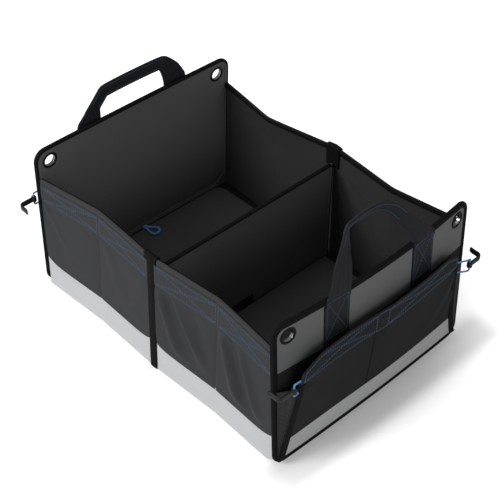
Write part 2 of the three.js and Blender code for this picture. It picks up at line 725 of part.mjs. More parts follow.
/** Teardrop of cord that lies on the board with its root over the board's free edge. */
function pullLoop(end, boardEnd) {
  const radius = LOOP_CORD / 2;
  const root = radius + LOOP_ROOT_GAP / 2;
  const seat = radius + 2 * SEAT_GAP; // cord's middle from the board's edge and top
  const slant = seat * Math.SQRT1_2;
  const lift = boardTop + seat;
  const bulb = LOOP_WIDTH / 2 - radius;
  const far = boardEnd - LOOP_LENGTH;
  const half = [
    [boardEnd + seat, root, hingeHeight - BOARD_THICKNESS / 4],
    [boardEnd + seat, root, boardTop],
    [boardEnd + slant, root, boardTop + slant],
    [boardEnd, root, lift],
    [boardEnd - LOOP_NECK, root + LOOP_NECK_SPREAD, lift],
    [far + LOOP_SHOULDER * bulb, bulb, lift],
    [far + LOOP_TURN * bulb, LOOP_TURN_WIDTH * bulb, lift],
  ];
  const back = half.map(([x, y, z]) => [x, -y, z]).reverse();
  const route = [...half, [far, 0, lift], ...back];
  const curve = new THREE.CatmullRomCurve3(
    route.map(([x, y, z]) => new THREE.Vector3(end.side * x, y, z)), false, 'centripetal',
  );
  return cordAlong(curve, radius, LOOP_STEPS);
}

/** Closed round cord along a curve. */
function cordAlong(curve, radius, steps) {
  const circle = new THREE.Shape().absarc(0, 0, radius, 0, 2 * Math.PI, false);
  return new THREE.ExtrudeGeometry(circle, { steps, curveSegments: 4, extrudePath: curve });
}

/** Webbing strap on the divider's foot that holds a board's hinge edge. */
function hingeStrap(end) {
  const near = DIVIDER_THICKNESS / 2 + SEAT_GAP;
  const left = HINGE_STRAP_SHIFT - HINGE_STRAP_WIDTH / 2;
  const right = HINGE_STRAP_SHIFT + HINGE_STRAP_WIDTH / 2;
  const top = floorTop + HINGE_STRAP_HEIGHT;
  const outline = roundedRectangle(left, floorTop, right, top, HINGE_STRAP_FOOT_CORNER, HINGE_STRAP_CORNER);
  return end.side > 0
    ? prismAcrossX(outline, near, near + TAB_THICKNESS, 2)
    : prismAcrossX(outline, -near - TAB_THICKNESS, -near, 2);
}

// Elastic loops and hooks

/** Where a hook's eye sits: the middle of the elastic's outer strand. */
function eyeCentre(end, side) {
  const edge = pocketHalf(elasticHeight);
  const reach = end.side < 0 && side.side < 0 ? REAR_LEFT_REACH : ELASTIC_REACH;
  const x = pocketReach(end, edge, elasticHeight) + LAYER_THICKNESS / 2;
  return new THREE.Vector3(end.side * x, side.side * (edge + SEAT_GAP + reach), elasticHeight);
}

/** U of elastic cord that leaves the pocket's side edge and comes back below. */
function elasticLoop(end, side) {
  const eye = eyeCentre(end, side);
  const half = ELASTIC_SPAN / 2;
  const at = (height) => {
    const z = elasticHeight + height;
    const y = pocketHalf(z) + SEAT_GAP;
    const x = pocketReach(end, y, z) + LAYER_THICKNESS / 2;
    return new THREE.Vector3(end.side * x, side.side * y, z);
  };
  const out = (height) => new THREE.Vector3(eye.x, eye.y, elasticHeight + height);
  const near = (height) =>
    new THREE.Vector3(eye.x, eye.y - side.side * ELASTIC_CORNER, elasticHeight + height);
  const curve = new THREE.CatmullRomCurve3(
    [
      at(half), near(half), out(half - ELASTIC_CORNER), out(0),
      out(ELASTIC_CORNER - half), near(-half), at(-half),
    ],
    false, 'centripetal',
  );
  return cordAlong(curve, ELASTIC_CORD / 2, ELASTIC_STEPS);
}

/** Outline of the hook in X and Y: an eye at the origin, an arm out along Y and a return towards the box. */
function hookOutline() {
  const eyeInner = ELASTIC_CORD / 2 + HOOK_EYE_SLACK;
  const eyeOuter = eyeInner + HOOK_EYE_WALL;
  const half = HOOK_THICKNESS / 2;
  const bend = HOOK_BEND;
  const outer = bend + half;
  const inner = bend - half;
  const turnY = HOOK_ARM - outer;
  const tip = HOOK_RETURN;
  const meet = Math.asin(half / eyeOuter);
  const hook = new THREE.Shape();
  hook.absarc(0, 0, eyeOuter, Math.PI / 2 + meet, 2.5 * Math.PI - meet, false);
  hook.lineTo(half, turnY);
  hook.absarc(-bend, turnY, outer, 0, Math.PI / 2, false);
  hook.lineTo(-tip, HOOK_ARM + HOOK_TIP_TURN);
  hook.absarc(-tip, HOOK_ARM + HOOK_TIP_TURN - half, half, Math.PI / 2, 1.5 * Math.PI, false);
  hook.lineTo(-bend, turnY + inner);
  hook.absarc(-bend, turnY, inner, Math.PI / 2, 0, true);
  hook.closePath();
  hook.holes.push(new THREE.Path().absarc(0, 0, eyeInner, 0, 2 * Math.PI, true));
  return hook;
}

/** Plastic hook round the elastic, with its return behind the corner of the box. */
function cordHook(end, side) {
  const eye = eyeCentre(end, side);
  const flat = prismUp(hookOutline(), -HOOK_WIDTH / 2, HOOK_WIDTH / 2, HOOK_FACETS);
  return closedCopy(flat, (x, y, z) => [eye.x + end.side * x, eye.y + side.side * y, eye.z + z]);
}

// Assembly

for (const end of ENDS) {
  addPiece(`${end.name}_end_panel`, endPanel(end), 'grey');
  addPiece(`${end.name}_end_binding`, endBinding(end), 'tape');
  for (const side of SIDES) {
    addPiece(`${end.name}_${side.name}_eyelet`, eyelet(), 'plastic', eyeletPlace(end, side.side * eyeletY));
  }
}
addPiece('rear_handle', handle(rearEnd, REAR_HANDLE_RISE, REAR_GRIP_LENGTH, REAR_HANDLE_LEAN), 'webbing');
addPiece('front_handle', handle(frontEnd, FRONT_HANDLE_RISE, FRONT_GRIP_LENGTH, FRONT_HANDLE_LEAN), 'webbing');

for (const side of SIDES) {
  addPiece(`${side.name}_wall`, sideWall(side), 'lining');
  addPiece(`${side.name}_top_binding`, wallBinding(side), 'tape');
  addPiece(`${side.name}_middle_strap`, middleStrap(side), 'tape');
  for (const end of ENDS) {
    const top = WALL_HEIGHT - WALL_TAPE_WIDTH - SEAT_GAP;
    addPiece(`${side.name}_${end.name}_pocket`, wallLayer(side, end, BAND_HEIGHT + SEAT_GAP, top), 'cloth');
    addPiece(`${side.name}_${end.name}_band`, wallLayer(side, end, SEAT_GAP, BAND_HEIGHT), 'band');
  }
  addPiece(`divider_${side.name}_tab`, dividerTab(side), 'webbing');
}
addPiece('bottom_cloth', bottomCloth(), 'lining');
addPiece('divider_panel', dividerPanel(), 'lining');
addPiece('divider_binding', dividerBinding(), 'tape');

for (const end of ENDS) {
  addPiece(`${end.name}_end_pocket`, pocketSheet(end, BAND_HEIGHT + SEAT_GAP, POCKET_HEIGHT, 4), 'cloth');
  addPiece(`${end.name}_end_band`, pocketSheet(end, pocketFoot, BAND_HEIGHT, 2), 'band');
  for (const side of SIDES) {
    addPiece(`${end.name}_${side.name}_gusset`, gusset(end, side), 'mesh');
    addPiece(`${end.name}_${side.name}_elastic`, elasticLoop(end, side), 'elastic');
    addPiece(`${end.name}_${side.name}_hook`, cordHook(end, side), 'plastic');
  }
  const boardEnd = BOX_LENGTH / 2 - (end.side > 0 ? FRONT_BOARD_INSET : REAR_BOARD_INSET);
  addPiece(`${end.name}_base_board`, baseBoard(end, boardEnd), 'board');
  addPiece(`${end.name}_pull_loop`, pullLoop(end, boardEnd), 'elastic');
  addPiece(`${end.name}_hinge_strap`, hingeStrap(end), 'webbing');
}

export default storageBox;
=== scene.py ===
"""Looks of a collapsible car storage box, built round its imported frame.

X runs from the rear end to the front end, Y from the left wall to the right wall, Z up, in metres.
The origin is on the floor under the foot of the divider.
"""

from __future__ import annotations

import logging
import math
from dataclasses import dataclass, field
from enum import Enum
from typing import Callable, Sequence

import bpy
import numpy as np
from mathutils import Matrix, Vector

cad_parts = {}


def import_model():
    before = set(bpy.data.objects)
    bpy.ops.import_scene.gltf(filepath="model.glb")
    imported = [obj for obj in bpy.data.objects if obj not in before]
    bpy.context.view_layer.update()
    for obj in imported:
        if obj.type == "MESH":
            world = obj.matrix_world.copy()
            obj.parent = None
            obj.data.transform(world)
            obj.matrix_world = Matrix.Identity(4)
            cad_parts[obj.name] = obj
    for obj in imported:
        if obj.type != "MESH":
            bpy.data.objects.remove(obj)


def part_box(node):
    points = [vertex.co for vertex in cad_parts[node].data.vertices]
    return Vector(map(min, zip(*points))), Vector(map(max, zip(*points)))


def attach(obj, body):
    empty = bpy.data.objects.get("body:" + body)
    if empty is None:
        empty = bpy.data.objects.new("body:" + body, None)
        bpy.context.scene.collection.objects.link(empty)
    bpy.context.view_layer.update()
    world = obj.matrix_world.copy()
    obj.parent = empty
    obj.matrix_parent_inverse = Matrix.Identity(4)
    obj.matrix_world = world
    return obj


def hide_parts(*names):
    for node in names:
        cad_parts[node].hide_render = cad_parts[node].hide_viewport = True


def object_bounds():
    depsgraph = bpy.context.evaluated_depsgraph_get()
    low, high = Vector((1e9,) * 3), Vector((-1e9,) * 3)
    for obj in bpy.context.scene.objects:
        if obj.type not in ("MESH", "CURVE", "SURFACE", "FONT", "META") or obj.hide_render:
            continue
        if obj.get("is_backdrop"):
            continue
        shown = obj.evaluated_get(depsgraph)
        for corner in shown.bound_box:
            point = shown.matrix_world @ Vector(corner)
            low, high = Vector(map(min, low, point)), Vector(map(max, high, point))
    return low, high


LOG = logging.getLogger("car_storage_box")
Array = np.ndarray
Place = Callable[[Array, Array], Array]
MM = 0.001


class End(Enum):
    """The two stiff ends of the box, by the sign of X."""

    REAR = -1
    FRONT = 1

    @property
    def word(self) -> str:
        """Name of the end as it stands in the names of its pieces."""
        return self.name.lower()


class Side(Enum):
    """The two cloth side walls, by the sign of Y."""

    LEFT = -1
    RIGHT = 1

    @property
    def word(self) -> str:
        """Name of the side as it stands in the names of its pieces."""
        return self.name.lower()


class Pattern(Enum):
    """Weaves and textures that a finish can have."""

    PLAIN = "plain weave, one thread over and one under"
    RIBBED = "ribs across the run of a tape"
    HERRINGBONE = "slanted ribs in lanes along a webbing"
    TWISTED = "strands that wind round a thread"
    BRAIDED = "crossing strands of a cord's cover"
    MOULDED = "fine grain of moulded plastic"


# Mesh tools


def unit(vectors: Array) -> Array:
    """Vectors of length one, along the last axis."""
    return vectors / np.maximum(np.linalg.norm(vectors, axis=-1, keepdims=True), 1e-12)


def smooth(t: Array) -> Array:
    """Even change from 0 to 1: three t squared less two t cubed, held at both ends."""
    held = np.clip(t, 0.0, 1.0)
    return held * held * (3.0 - 2.0 * held)


def mix(a: Array | float, b: Array | float, t: Array | float) -> Array:
    """Straight change from a to b as t goes from 0 to 1."""
    return a + (b - a) * t


def bell(distance: Array, width: Array | float) -> Array:
    """Bell curve: one at no distance, and about a third at the width."""
    return np.exp(-((distance / width) ** 2))


def rounded_off(past: Array, radius: float) -> Array:
    """What a quarter circle takes off an edge, at a distance past the corner's start."""
    held = np.clip(past, 0.0, radius)
    return radius - np.sqrt(radius**2 - held**2)


def squared(wave: Array, power: float) -> Array:
    """Sine or cosine drawn towards a square wave: its sign times its size to a power."""
    return np.sign(wave) * np.abs(wave) ** power


def full_turn(count: int) -> Array:
    """Even angles all round a circle."""
    return np.linspace(0.0, 2.0 * math.pi, count, endpoint=False)


def ring_about(axis: Array, count: int) -> Array:
    """Even directions all round an axis that isn't upright."""
    angle = full_turn(count)
    across = unit(np.cross(axis, [0.0, 0.0, 1.0]))
    upward = np.cross(axis, across)
    return across * np.cos(angle)[:, None] + upward * np.sin(angle)[:, None]


def run_lengths(points: Array) -> Array:
    """Distance along a polyline at each of its points."""
    steps = np.linalg.norm(np.diff(points, axis=0), axis=-1)
    return np.concatenate([[0.0], np.cumsum(steps)])


def resample(points: Array, count: int, measured: int = 3) -> Array:
    """Even points along a polyline.

    Args:
        points: Corners, one row each.
        count: How many points to return.
        measured: How many of the first columns are coordinates, which the distance is measured in.

    Returns:
        Points at even distances, from the first corner to the last.
    """
    along = run_lengths(points[:, :measured])
    wanted = np.linspace(0.0, along[-1], count)
    return np.stack([np.interp(wanted, along, points[:, k]) for k in range(points.shape[1])], axis=-1)


def rounded_route(points: Array, count: int, passes: int = 3, measured: int = 3) -> Array:
    """Smooth curve near a polyline, by cutting each corner to quarters a few times.

    Args:
        points: Corners, one row each.
        count: How many points to return.
        passes: How often the corners are cut.
        measured: How many of the first columns are coordinates.

    Returns:
        Even points along the curve, which keeps the polyline's two ends.
    """
    for _ in range(passes):
        before = mix(points[:-1], points[1:], 0.25)
        after = mix(points[:-1], points[1:], 0.75)
        cut = np.stack([before, after], axis=1).reshape(-1, points.shape[1])
        points = np.concatenate([points[:1], cut[1:-1], points[-1:]])
    return resample(points, count, measured)


def tangents(points: Array) -> Array:
    """Directions along a polyline, from the difference of each point's neighbours."""
    return unit(np.gradient(points, axis=0))


def grid_quads(rows: int, columns: int, wrap_rows: bool = False, wrap_columns: bool = False) -> Array:
    """Rows and columns of each quad's four corners on a grid of points.

    Args:
        rows: Points down the grid.
        columns: Points along it.
        wrap_rows: Whether the last row joins the first.
        wrap_columns: Whether the last column joins the first.

    Returns:
        Array of quads, corners and (row, column), not wrapped, so that a pattern can run on.
    """
    row, column = np.meshgrid(
        np.arange(rows if wrap_rows else rows - 1),
        np.arange(columns if wrap_columns else columns - 1),
        indexing="ij",
    )
    turns = [(0, 0), (0, 1), (1, 1), (1, 0)]
    corners = [np.stack([row + down, column + along], axis=-1) for down, along in turns]
    return np.stack(corners, axis=-2).reshape(-1, 4, 2)


@dataclass
class MeshParts:
    """Points, faces, pattern coordinates and finishes of a mesh that is being put together."""

    points: list[Array] = field(default_factory=list)
    faces: list[list[int]] = field(default_factory=list)
    uvs: list[tuple[float, float]] = field(default_factory=list)
    finishes: list[int] = field(default_factory=list)
    count: int = 0

    def add_points(self, points: Array) -> int:
        """Adds points and returns the index of the first."""
        flat = points.reshape(-1, 3)
        first = self.count
        self.points.append(flat)
        self.count += len(flat)
        return first

    def add_faces(self, faces: Array, uvs: Array, finish: int = 0) -> None:
        """Adds faces with one pattern coordinate for each corner."""
        self.faces.extend(faces.tolist())
        self.uvs.extend(map(tuple, uvs.reshape(-1, 2).tolist()))
        self.finishes.extend([finish] * len(faces))

    def add_grid(
        self,
        points: Array,
        wrap_rows: bool = False,
        wrap_columns: bool = False,
        finish: int = 0,
        flip: bool = False,
    ) -> int:
        """Adds a grid of points as quads.

        Args:
            points: Array of rows, columns and coordinates.
            wrap_rows: Whether the last row joins the first.
            wrap_columns: Whether the last column joins the first.
            finish: Index of the finish.
            flip: Whether the faces turn round.

        Returns:
            Index of the grid's first point.
        """
        rows, columns = points.shape[:2]
        first = self.add_points(points)
        quads = grid_quads(rows, columns, wrap_rows, wrap_columns)
        index = first + (quads[..., 0] % rows) * columns + quads[..., 1] % columns
        down = np.concatenate([points, points[:1]]) if wrap_rows else points
        along = np.concatenate([points, points[:, :1]], axis=1) if wrap_columns else points
        row_uv = run_lengths(down[:, columns // 2])
        column_uv = run_lengths(along[rows // 2])
        pattern = np.stack([column_uv[quads[..., 1]], row_uv[quads[..., 0]]], axis=-1)
        if flip:
            index, pattern = index[:, ::-1], pattern[:, ::-1]
        self.add_faces(index, pattern, finish)
        return first

    def merge(self, other: MeshParts) -> None:
        """Adds the whole of another mesh."""
        shift = self.add_points(np.concatenate(other.points))
        self.faces.extend([[corner + shift for corner in face] for face in other.faces])
        self.uvs.extend(other.uvs)
        self.finishes.extend(other.finishes)

    def make(self, name: str) -> bpy.types.Object:
        """Blender object of the mesh, smooth, with sharp edges where faces meet at over 40 degrees."""
        mesh = bpy.data.meshes.new(name)
        mesh.from_pydata(np.concatenate(self.points).tolist(), [], self.faces)
        layer = mesh.uv_layers.new(name="UVMap")
        layer.data.foreach_set("uv", np.array(self.uvs, np.float32).ravel())
        mesh.polygons.foreach_set("material_index", self.finishes)
        mesh.polygons.foreach_set("use_smooth", [True] * len(self.faces))
        mesh.update()
        mesh.set_sharp_from_angle(angle=math.radians(40))
        piece = bpy.data.objects.new(name, mesh)
        bpy.context.scene.collection.objects.link(piece)
        return piece


def volume_sign(points: Array, faces: Sequence[Sequence[int]]) -> float:
    """Sign of a closed mesh's volume, by the sum of the fans of its faces."""
    quads = np.array([face if len(face) == 4 else [*face, face[-1]] for face in faces if len(face) < 5])
    a, b, c, d = (points[quads[:, k]] for k in range(4))
    whole = np.einsum("ij,ij->i", a, np.cross(b, c)) + np.einsum("ij,ij->i", a, np.cross(c, d))
    return float(np.sign(whole.sum()))


def outward(parts: MeshParts) -> MeshParts:
    """The same mesh with its faces turned so that they point out."""
    points = np.concatenate(parts.points)
    if volume_sign(points, parts.faces) < 0:
        uvs: list[tuple[float, float]] = []
        corner = 0
        for face in parts.faces:
            uvs.extend(reversed(parts.uvs[corner : corner + len(face)]))
            corner += len(face)
        parts.faces = [face[::-1] for face in parts.faces]
        parts.uvs = uvs
    return parts


def skin(front: Array, back: Array, back_finish: int = 0, rim_finish: int = 0) -> MeshParts:
    """Closed sheet between two grids of points with the same rows and columns.

    Args:
        front: Points of the outer face.
        back: Points of the inner face.
        back_finish: Index of the inner face's finish.
        rim_finish: Index of the rim's finish.

    Returns:
        Mesh parts whose faces point out.
    """
    parts = MeshParts()
    rows, columns = front.shape[:2]
    first = parts.add_grid(front)
    second = parts.add_grid(back, flip=True, finish=back_finish)
    index = np.arange(rows * columns).reshape(rows, columns)
    border = np.concatenate([index[0, :-1], index[:-1, -1], index[-1, :0:-1], index[:0:-1, 0]])
    around = np.roll(border, -1)
    rim = np.stack([first + border, second + border, second + around, first + around], axis=-1)
    along = np.concatenate([[0.0], np.cumsum(np.linalg.norm(
        front.reshape(-1, 3)[around] - front.reshape(-1, 3)[border], axis=-1))])
    width = float(np.linalg.norm(front[0, 0] - back[0, 0]))
    zero, full = np.zeros(len(border)), np.full(len(border), width)
    pattern = np.stack([
        np.stack([along[:-1], zero], axis=-1),
        np.stack([along[:-1], full], axis=-1),
        np.stack([along[1:], full], axis=-1),
        np.stack([along[1:], zero], axis=-1),
    ], axis=1)
    parts.add_faces(rim, pattern, rim_finish)
    return outward(parts)


def sweep(stations: Array, closed: bool = False) -> MeshParts:
    """Profile carried along a path, given as the finished profile at each station.

    Args:
        stations: Array of stations, profile points and coordinates. The profile is a closed loop.
        closed: Whether the last station joins the first.

    Returns:
        Mesh parts, capped at both ends if the path is open.
    """
    new = MeshParts()
    new.add_grid(stations, wrap_rows=closed, wrap_columns=True)
    count, around = stations.shape[:2]
    if not closed:
        start = np.arange(around)[::-1]
        stop = np.arange(around) + (count - 1) * around
        for cap in (start, stop):
            new.faces.append(cap.tolist())
            new.uvs.extend([(0.0, 0.0)] * around)
            new.finishes.append(0)
    return new


def tube(route: Array, radius: float | Array, sides: int = 12) -> Array:
    """Stations of a round cord along a route.

    Args:
        route: Points of the cord's middle line.
        radius: The cord's radius, or one for each point.
        sides: Points round the cord.

    Returns:
        Stations for sweep. The circle lies in the plane across the route at each point.
    """
    along = tangents(route)
    upright = abs(along[:, 2]).max() >= 0.9
    reference = np.array([0.9, 0.4, 0.1] if upright else [0.31, 0.23, 0.92])
    across = unit(np.cross(along, reference))
    upward = np.cross(along, across)
    angle = full_turn(sides)
    cosine, sine = np.cos(angle)[None, :, None], np.sin(angle)[None, :, None]
    circle = across[:, None] * cosine + upward[:, None] * sine
    return route[:, None] + circle * np.broadcast_to(radius, len(route))[:, None, None]


# Finishes


class Shader:
    """Writer for one material's nodes, with patterns on its own UV map or on Object coordinates."""

    def __init__(self, name: str) -> None:
        """Starts a material with its surface shader."""
        self.material = bpy.data.materials.new(name)
        self.material.use_nodes = True
        self.tree = self.material.node_tree
        self.surface = self.tree.nodes["Principled BSDF"]

    def node(self, kind: str, **settings: object) -> bpy.types.Node:
        """Adds a node and sets its own settings."""
        made = self.tree.nodes.new(f"ShaderNode{kind}")
        for key, value in settings.items():
            setattr(made, key, value)
        return made

    def link(self, source: bpy.types.NodeSocket, target: bpy.types.NodeSocket) -> None:
        """Joins two sockets."""
        self.tree.links.new(source, target)

    def put(self, target: bpy.types.NodeSocket, value: object) -> None:
        """Sets a socket to a number or a colour, or joins another socket to it."""
        if isinstance(value, bpy.types.NodeSocket):
            self.link(value, target)
        else:
            target.default_value = value

    def math(self, operation: str, *values: object) -> bpy.types.NodeSocket:
        """One sum on numbers or sockets."""
        made = self.node("Math", operation=operation)
        for socket, value in zip(made.inputs, values):
            self.put(socket, value)
        return made.outputs[0]

    def ease(
        self, value: bpy.types.NodeSocket, start: float, stop: float, low: float = 0.0, high: float = 1.0
    ) -> bpy.types.NodeSocket:
        """Even change from low to high as a number goes from start to stop."""
        made = self.node("MapRange", interpolation_type="SMOOTHSTEP")
        self.link(value, made.inputs[0])
        for socket, number in zip(list(made.inputs)[1:5], (start, stop, low, high)):
            socket.default_value = number
        return made.outputs[0]

    def window(
        self, value: bpy.types.NodeSocket, edges: tuple[float, float, float, float]
    ) -> bpy.types.NodeSocket:
        """One between the two middle edges, falling evenly to nothing at the outer two."""
        rise, fall = self.ease(value, edges[0], edges[1]), self.ease(value, edges[3], edges[2])
        return self.math("MULTIPLY", rise, fall)

    def coordinates(self, uv: bool) -> tuple[bpy.types.NodeSocket, bpy.types.NodeSocket]:
        """Coordinates of the pattern and of the object, in metres.

        Args:
            uv: Whether the pattern follows the piece's own UV map.

        Returns:
            The pattern's coordinate and the Object coordinate.
        """
        made = self.node("TexCoord")
        return made.outputs["UV" if uv else "Object"], made.outputs["Object"]

    def noise(self, place: bpy.types.NodeSocket, scale: float, detail: float = 3.0) -> bpy.types.NodeSocket:
        """Cloudy noise from 0 to 1 at a number of cells for each metre."""
        made = self.node("TexNoise")
        self.link(place, made.inputs["Vector"])
        made.inputs["Scale"].default_value = scale
        made.inputs["Detail"].default_value = detail
        return made.outputs["Fac"]

    def ramp(self, value: bpy.types.NodeSocket, low: tuple, high: tuple) -> bpy.types.NodeSocket:
        """Colour between two as a number goes from 0 to 1."""
        made = self.node("Mix", data_type="RGBA")
        self.link(value, made.inputs[0])
        made.inputs[6].default_value = low
        made.inputs[7].default_value = high
        return made.outputs[2]

    def bump(
        self,
        height: bpy.types.NodeSocket,
        distance: float,
        strength: float,
        below: bpy.types.NodeSocket | None,
    ) -> bpy.types.NodeSocket:
        """Bump of a height in metres, laid over an earlier one."""
        made = self.node("Bump")
        made.inputs["Distance"].default_value = distance
        made.inputs["Strength"].default_value = strength
        self.link(height, made.inputs["Height"])
        if below is not None:
            self.link(below, made.inputs["Normal"])
        return made.outputs["Normal"]


@dataclass(frozen=True)
class Finish:
    """One material: its colour, its weave or grain, and how it takes the light."""

    name: str
    color: tuple[float, float, float]
    pattern: Pattern
    pitch: float
    relief: float = 0.12 * MM
    contrast: float = 0.25
    mottling: float = 0.1
    creasing: float = 0.0
    roughness: float = 0.8
    sheen: float = 0.0
    specular: float = 0.35
    metallic: float = 0.0
    uv: bool = True

    def weave(self, shader: Shader, place: bpy.types.NodeSocket) -> bpy.types.NodeSocket:
        """Height of the pattern from 0 to 1.

        Args:
            shader: The material's writer.
            place: Coordinate in metres, run of the cloth first.

        Returns:
            Socket with the height. Plain weave is half of one plus the product of two sines.
        """
        split = shader.node("SeparateXYZ")
        shader.link(place, split.inputs[0])
        along, across = split.outputs[0], split.outputs[1]
        turn = math.pi / self.pitch
        if self.pattern is Pattern.RIBBED:
            wave = shader.math("SINE", shader.math("MULTIPLY", along, 2.0 * turn))
        elif self.pattern is Pattern.HERRINGBONE:
            lane = shader.math("PINGPONG", across, 2.0 * self.pitch)
            slanted = shader.math("ADD", along, shader.math("MULTIPLY", lane, 0.8))
            wave = shader.math("SINE", shader.math("MULTIPLY", slanted, 2.0 * turn))
        elif self.pattern is Pattern.TWISTED:
            slanted = shader.math("ADD", along, across)
            wave = shader.math("SINE", shader.math("MULTIPLY", slanted, 2.0 * turn))
        else:
            first, second = along, across
            if self.pattern is Pattern.BRAIDED:
                first, second = shader.math("ADD", along, across), shader.math("SUBTRACT", along, across)
            wave = shader.math(
                "MULTIPLY",
                shader.math("SINE", shader.math("MULTIPLY", first, turn)),
                shader.math("SINE", shader.math("MULTIPLY", second, turn)),
            )
        return shader.math("MULTIPLY_ADD", wave, 0.5, 0.5)

    def build(self) -> bpy.types.Material:
        """Makes the material with its colour variation, roughness and bump."""
        shader = Shader(self.name)
        place, local = shader.coordinates(self.uv)
        if self.pattern is Pattern.MOULDED:
            height = shader.noise(local, 1.0 / self.pitch, 2.0)
        else:
            height = self.weave(shader, place)
        cloud = shader.noise(local, 14.0, 4.0)
        tone = shader.math(
            "ADD",
            shader.math("MULTIPLY", height, self.contrast),
            shader.math("MULTIPLY", cloud, self.mottling),
        )
        spread = self.contrast + self.mottling
        low = tuple(c * (1.0 - 0.5 * spread) for c in self.color) + (1.0,)
        high = tuple(c * (1.0 + 0.5 * spread) for c in self.color) + (1.0,)
        shade = shader.ramp(shader.math("DIVIDE", tone, max(spread, 1e-3)), low, high)
        shader.link(shade, shader.surface.inputs["Base Color"])
        rough = shader.math("MULTIPLY_ADD", cloud, 0.16, self.roughness - 0.08)
        shader.link(rough, shader.surface.inputs["Roughness"])
        normal = None
        if self.creasing > 0.0:
            soft = shader.noise(local, 46.0, 5.0)
            normal = shader.bump(soft, self.creasing, 0.6, None)
        normal = shader.bump(height, self.relief, 0.7, normal)
        shader.link(normal, shader.surface.inputs["Normal"])
        shader.surface.inputs["Specular IOR Level"].default_value = self.specular
        shader.surface.inputs["Sheen Weight"].default_value = self.sheen
        shader.surface.inputs["Sheen Roughness"].default_value = 0.45
        shader.surface.inputs["Metallic"].default_value = self.metallic
        return shader.material


FINISHES = (
    Finish("outer_cloth", (0.035, 0.036, 0.038), Pattern.PLAIN, 1.1 * MM, creasing=1.2 * MM, contrast=0.4,
           mottling=0.3, roughness=0.72, sheen=0.04, specular=0.2),
    # A darker copy of the outer cloth: painted shade on the front pocket, and on the panel below the pocket's
    # mouth.
    Finish("pocket_cloth", (0.015, 0.015, 0.016), Pattern.PLAIN, 1.1 * MM, creasing=0.7 * MM,
           mottling=0.2, roughness=0.75, sheen=0.02, specular=0.12),
    Finish("lining_cloth", (0.034, 0.034, 0.035), Pattern.PLAIN, 0.8 * MM, creasing=0.5 * MM,
           roughness=0.66, sheen=0.03, specular=0.15),
    Finish("panel_lining", (0.115, 0.115, 0.117), Pattern.PLAIN, 0.8 * MM, creasing=0.3 * MM,
           roughness=0.66, sheen=0.03, specular=0.15),
    Finish("divider_cloth", (0.098, 0.098, 0.100), Pattern.PLAIN, 0.8 * MM, creasing=0.3 * MM,
           roughness=0.66, sheen=0.03, specular=0.15),
    Finish("grey_cloth", (0.136, 0.138, 0.141), Pattern.PLAIN, 0.8 * MM, contrast=0.12, mottling=0.06,
           creasing=0.4 * MM, roughness=0.6, specular=0.2),
    Finish("band_cloth", (0.56, 0.565, 0.575), Pattern.PLAIN, 0.8 * MM, contrast=0.1, mottling=0.05,
           creasing=0.6 * MM, roughness=0.6),
    # A darker copy of the band cloth: painted shade on the pocket's light foot.
    Finish("pocket_band", (0.42, 0.423, 0.43), Pattern.PLAIN, 0.8 * MM, contrast=0.1, mottling=0.08,
           creasing=0.6 * MM, roughness=0.6, specular=0.2),
    Finish("binding_tape", (0.007, 0.007, 0.0075), Pattern.RIBBED, 1.3 * MM, relief=0.2 * MM,
           roughness=0.7, specular=0.07),
    # A lighter copy of the binding tape: a painted highlight along the side walls' top edge.
    Finish("wall_tape", (0.040, 0.040, 0.042), Pattern.RIBBED, 1.3 * MM, relief=0.2 * MM, roughness=0.66,
           sheen=0.03, specular=0.15),
    Finish("webbing", (0.012, 0.0125, 0.015), Pattern.HERRINGBONE, 2.1 * MM, relief=0.3 * MM,
           contrast=0.35, roughness=0.6, sheen=0.04, specular=0.2),
    Finish("tab_webbing", (0.006, 0.006, 0.0065), Pattern.HERRINGBONE, 2.1 * MM, relief=0.3 * MM,
           roughness=0.7, specular=0.08),
    Finish("floor_cloth", (0.010, 0.010, 0.0105), Pattern.PLAIN, 0.8 * MM, creasing=0.5 * MM,
           roughness=0.66, specular=0.15),
    Finish("mesh_cloth", (0.036, 0.036, 0.038), Pattern.BRAIDED, 1.8 * MM, relief=0.3 * MM, contrast=0.5,
           roughness=0.75, specular=0.15),
    Finish("board_cover", (0.058, 0.058, 0.059), Pattern.PLAIN, 1.0 * MM, creasing=0.5 * MM,
           roughness=0.7, sheen=0.02, specular=0.15),
    Finish("blue_thread", (0.050, 0.086, 0.155), Pattern.TWISTED, 1.2 * MM, relief=0.1 * MM, contrast=0.4,
           roughness=0.5, sheen=0.1),
    Finish("blue_cord", (0.10, 0.26, 0.56), Pattern.BRAIDED, 2.2 * MM, relief=0.3 * MM, contrast=0.6,
           roughness=0.6, sheen=0.2),
    Finish("hook_plastic", (0.012, 0.012, 0.013), Pattern.MOULDED, 0.9 * MM, relief=0.05 * MM,
           contrast=0.1, mottling=0.05, roughness=0.36, specular=0.3, uv=False),
    Finish("eyelet_metal", (0.004, 0.004, 0.004), Pattern.MOULDED, 0.7 * MM, relief=0.03 * MM,
           contrast=0.1, mottling=0.1, roughness=0.42, specular=0.18, uv=False),
    Finish("bore_metal", (0.30, 0.30, 0.31), Pattern.MOULDED, 0.7 * MM, relief=0.02 * MM, contrast=0.1,
           mottling=0.1, roughness=0.28, metallic=1.0, uv=False),
)


@dataclass
class Finishes:
    """Every finish of the box, each built once."""

    known: dict[str, Finish] = field(default_factory=lambda: {finish.name: finish for finish in FINISHES})
    built: dict[str, bpy.types.Material] = field(default_factory=dict)

    def get(self, name: str) -> bpy.types.Material:
        """Material of a named finish, built the first time that it is asked for."""
        if name not in self.built:
            self.built[name] = self.known[name].build()
        return self.built[name]


# The shape that the filled-out cloth box stands in


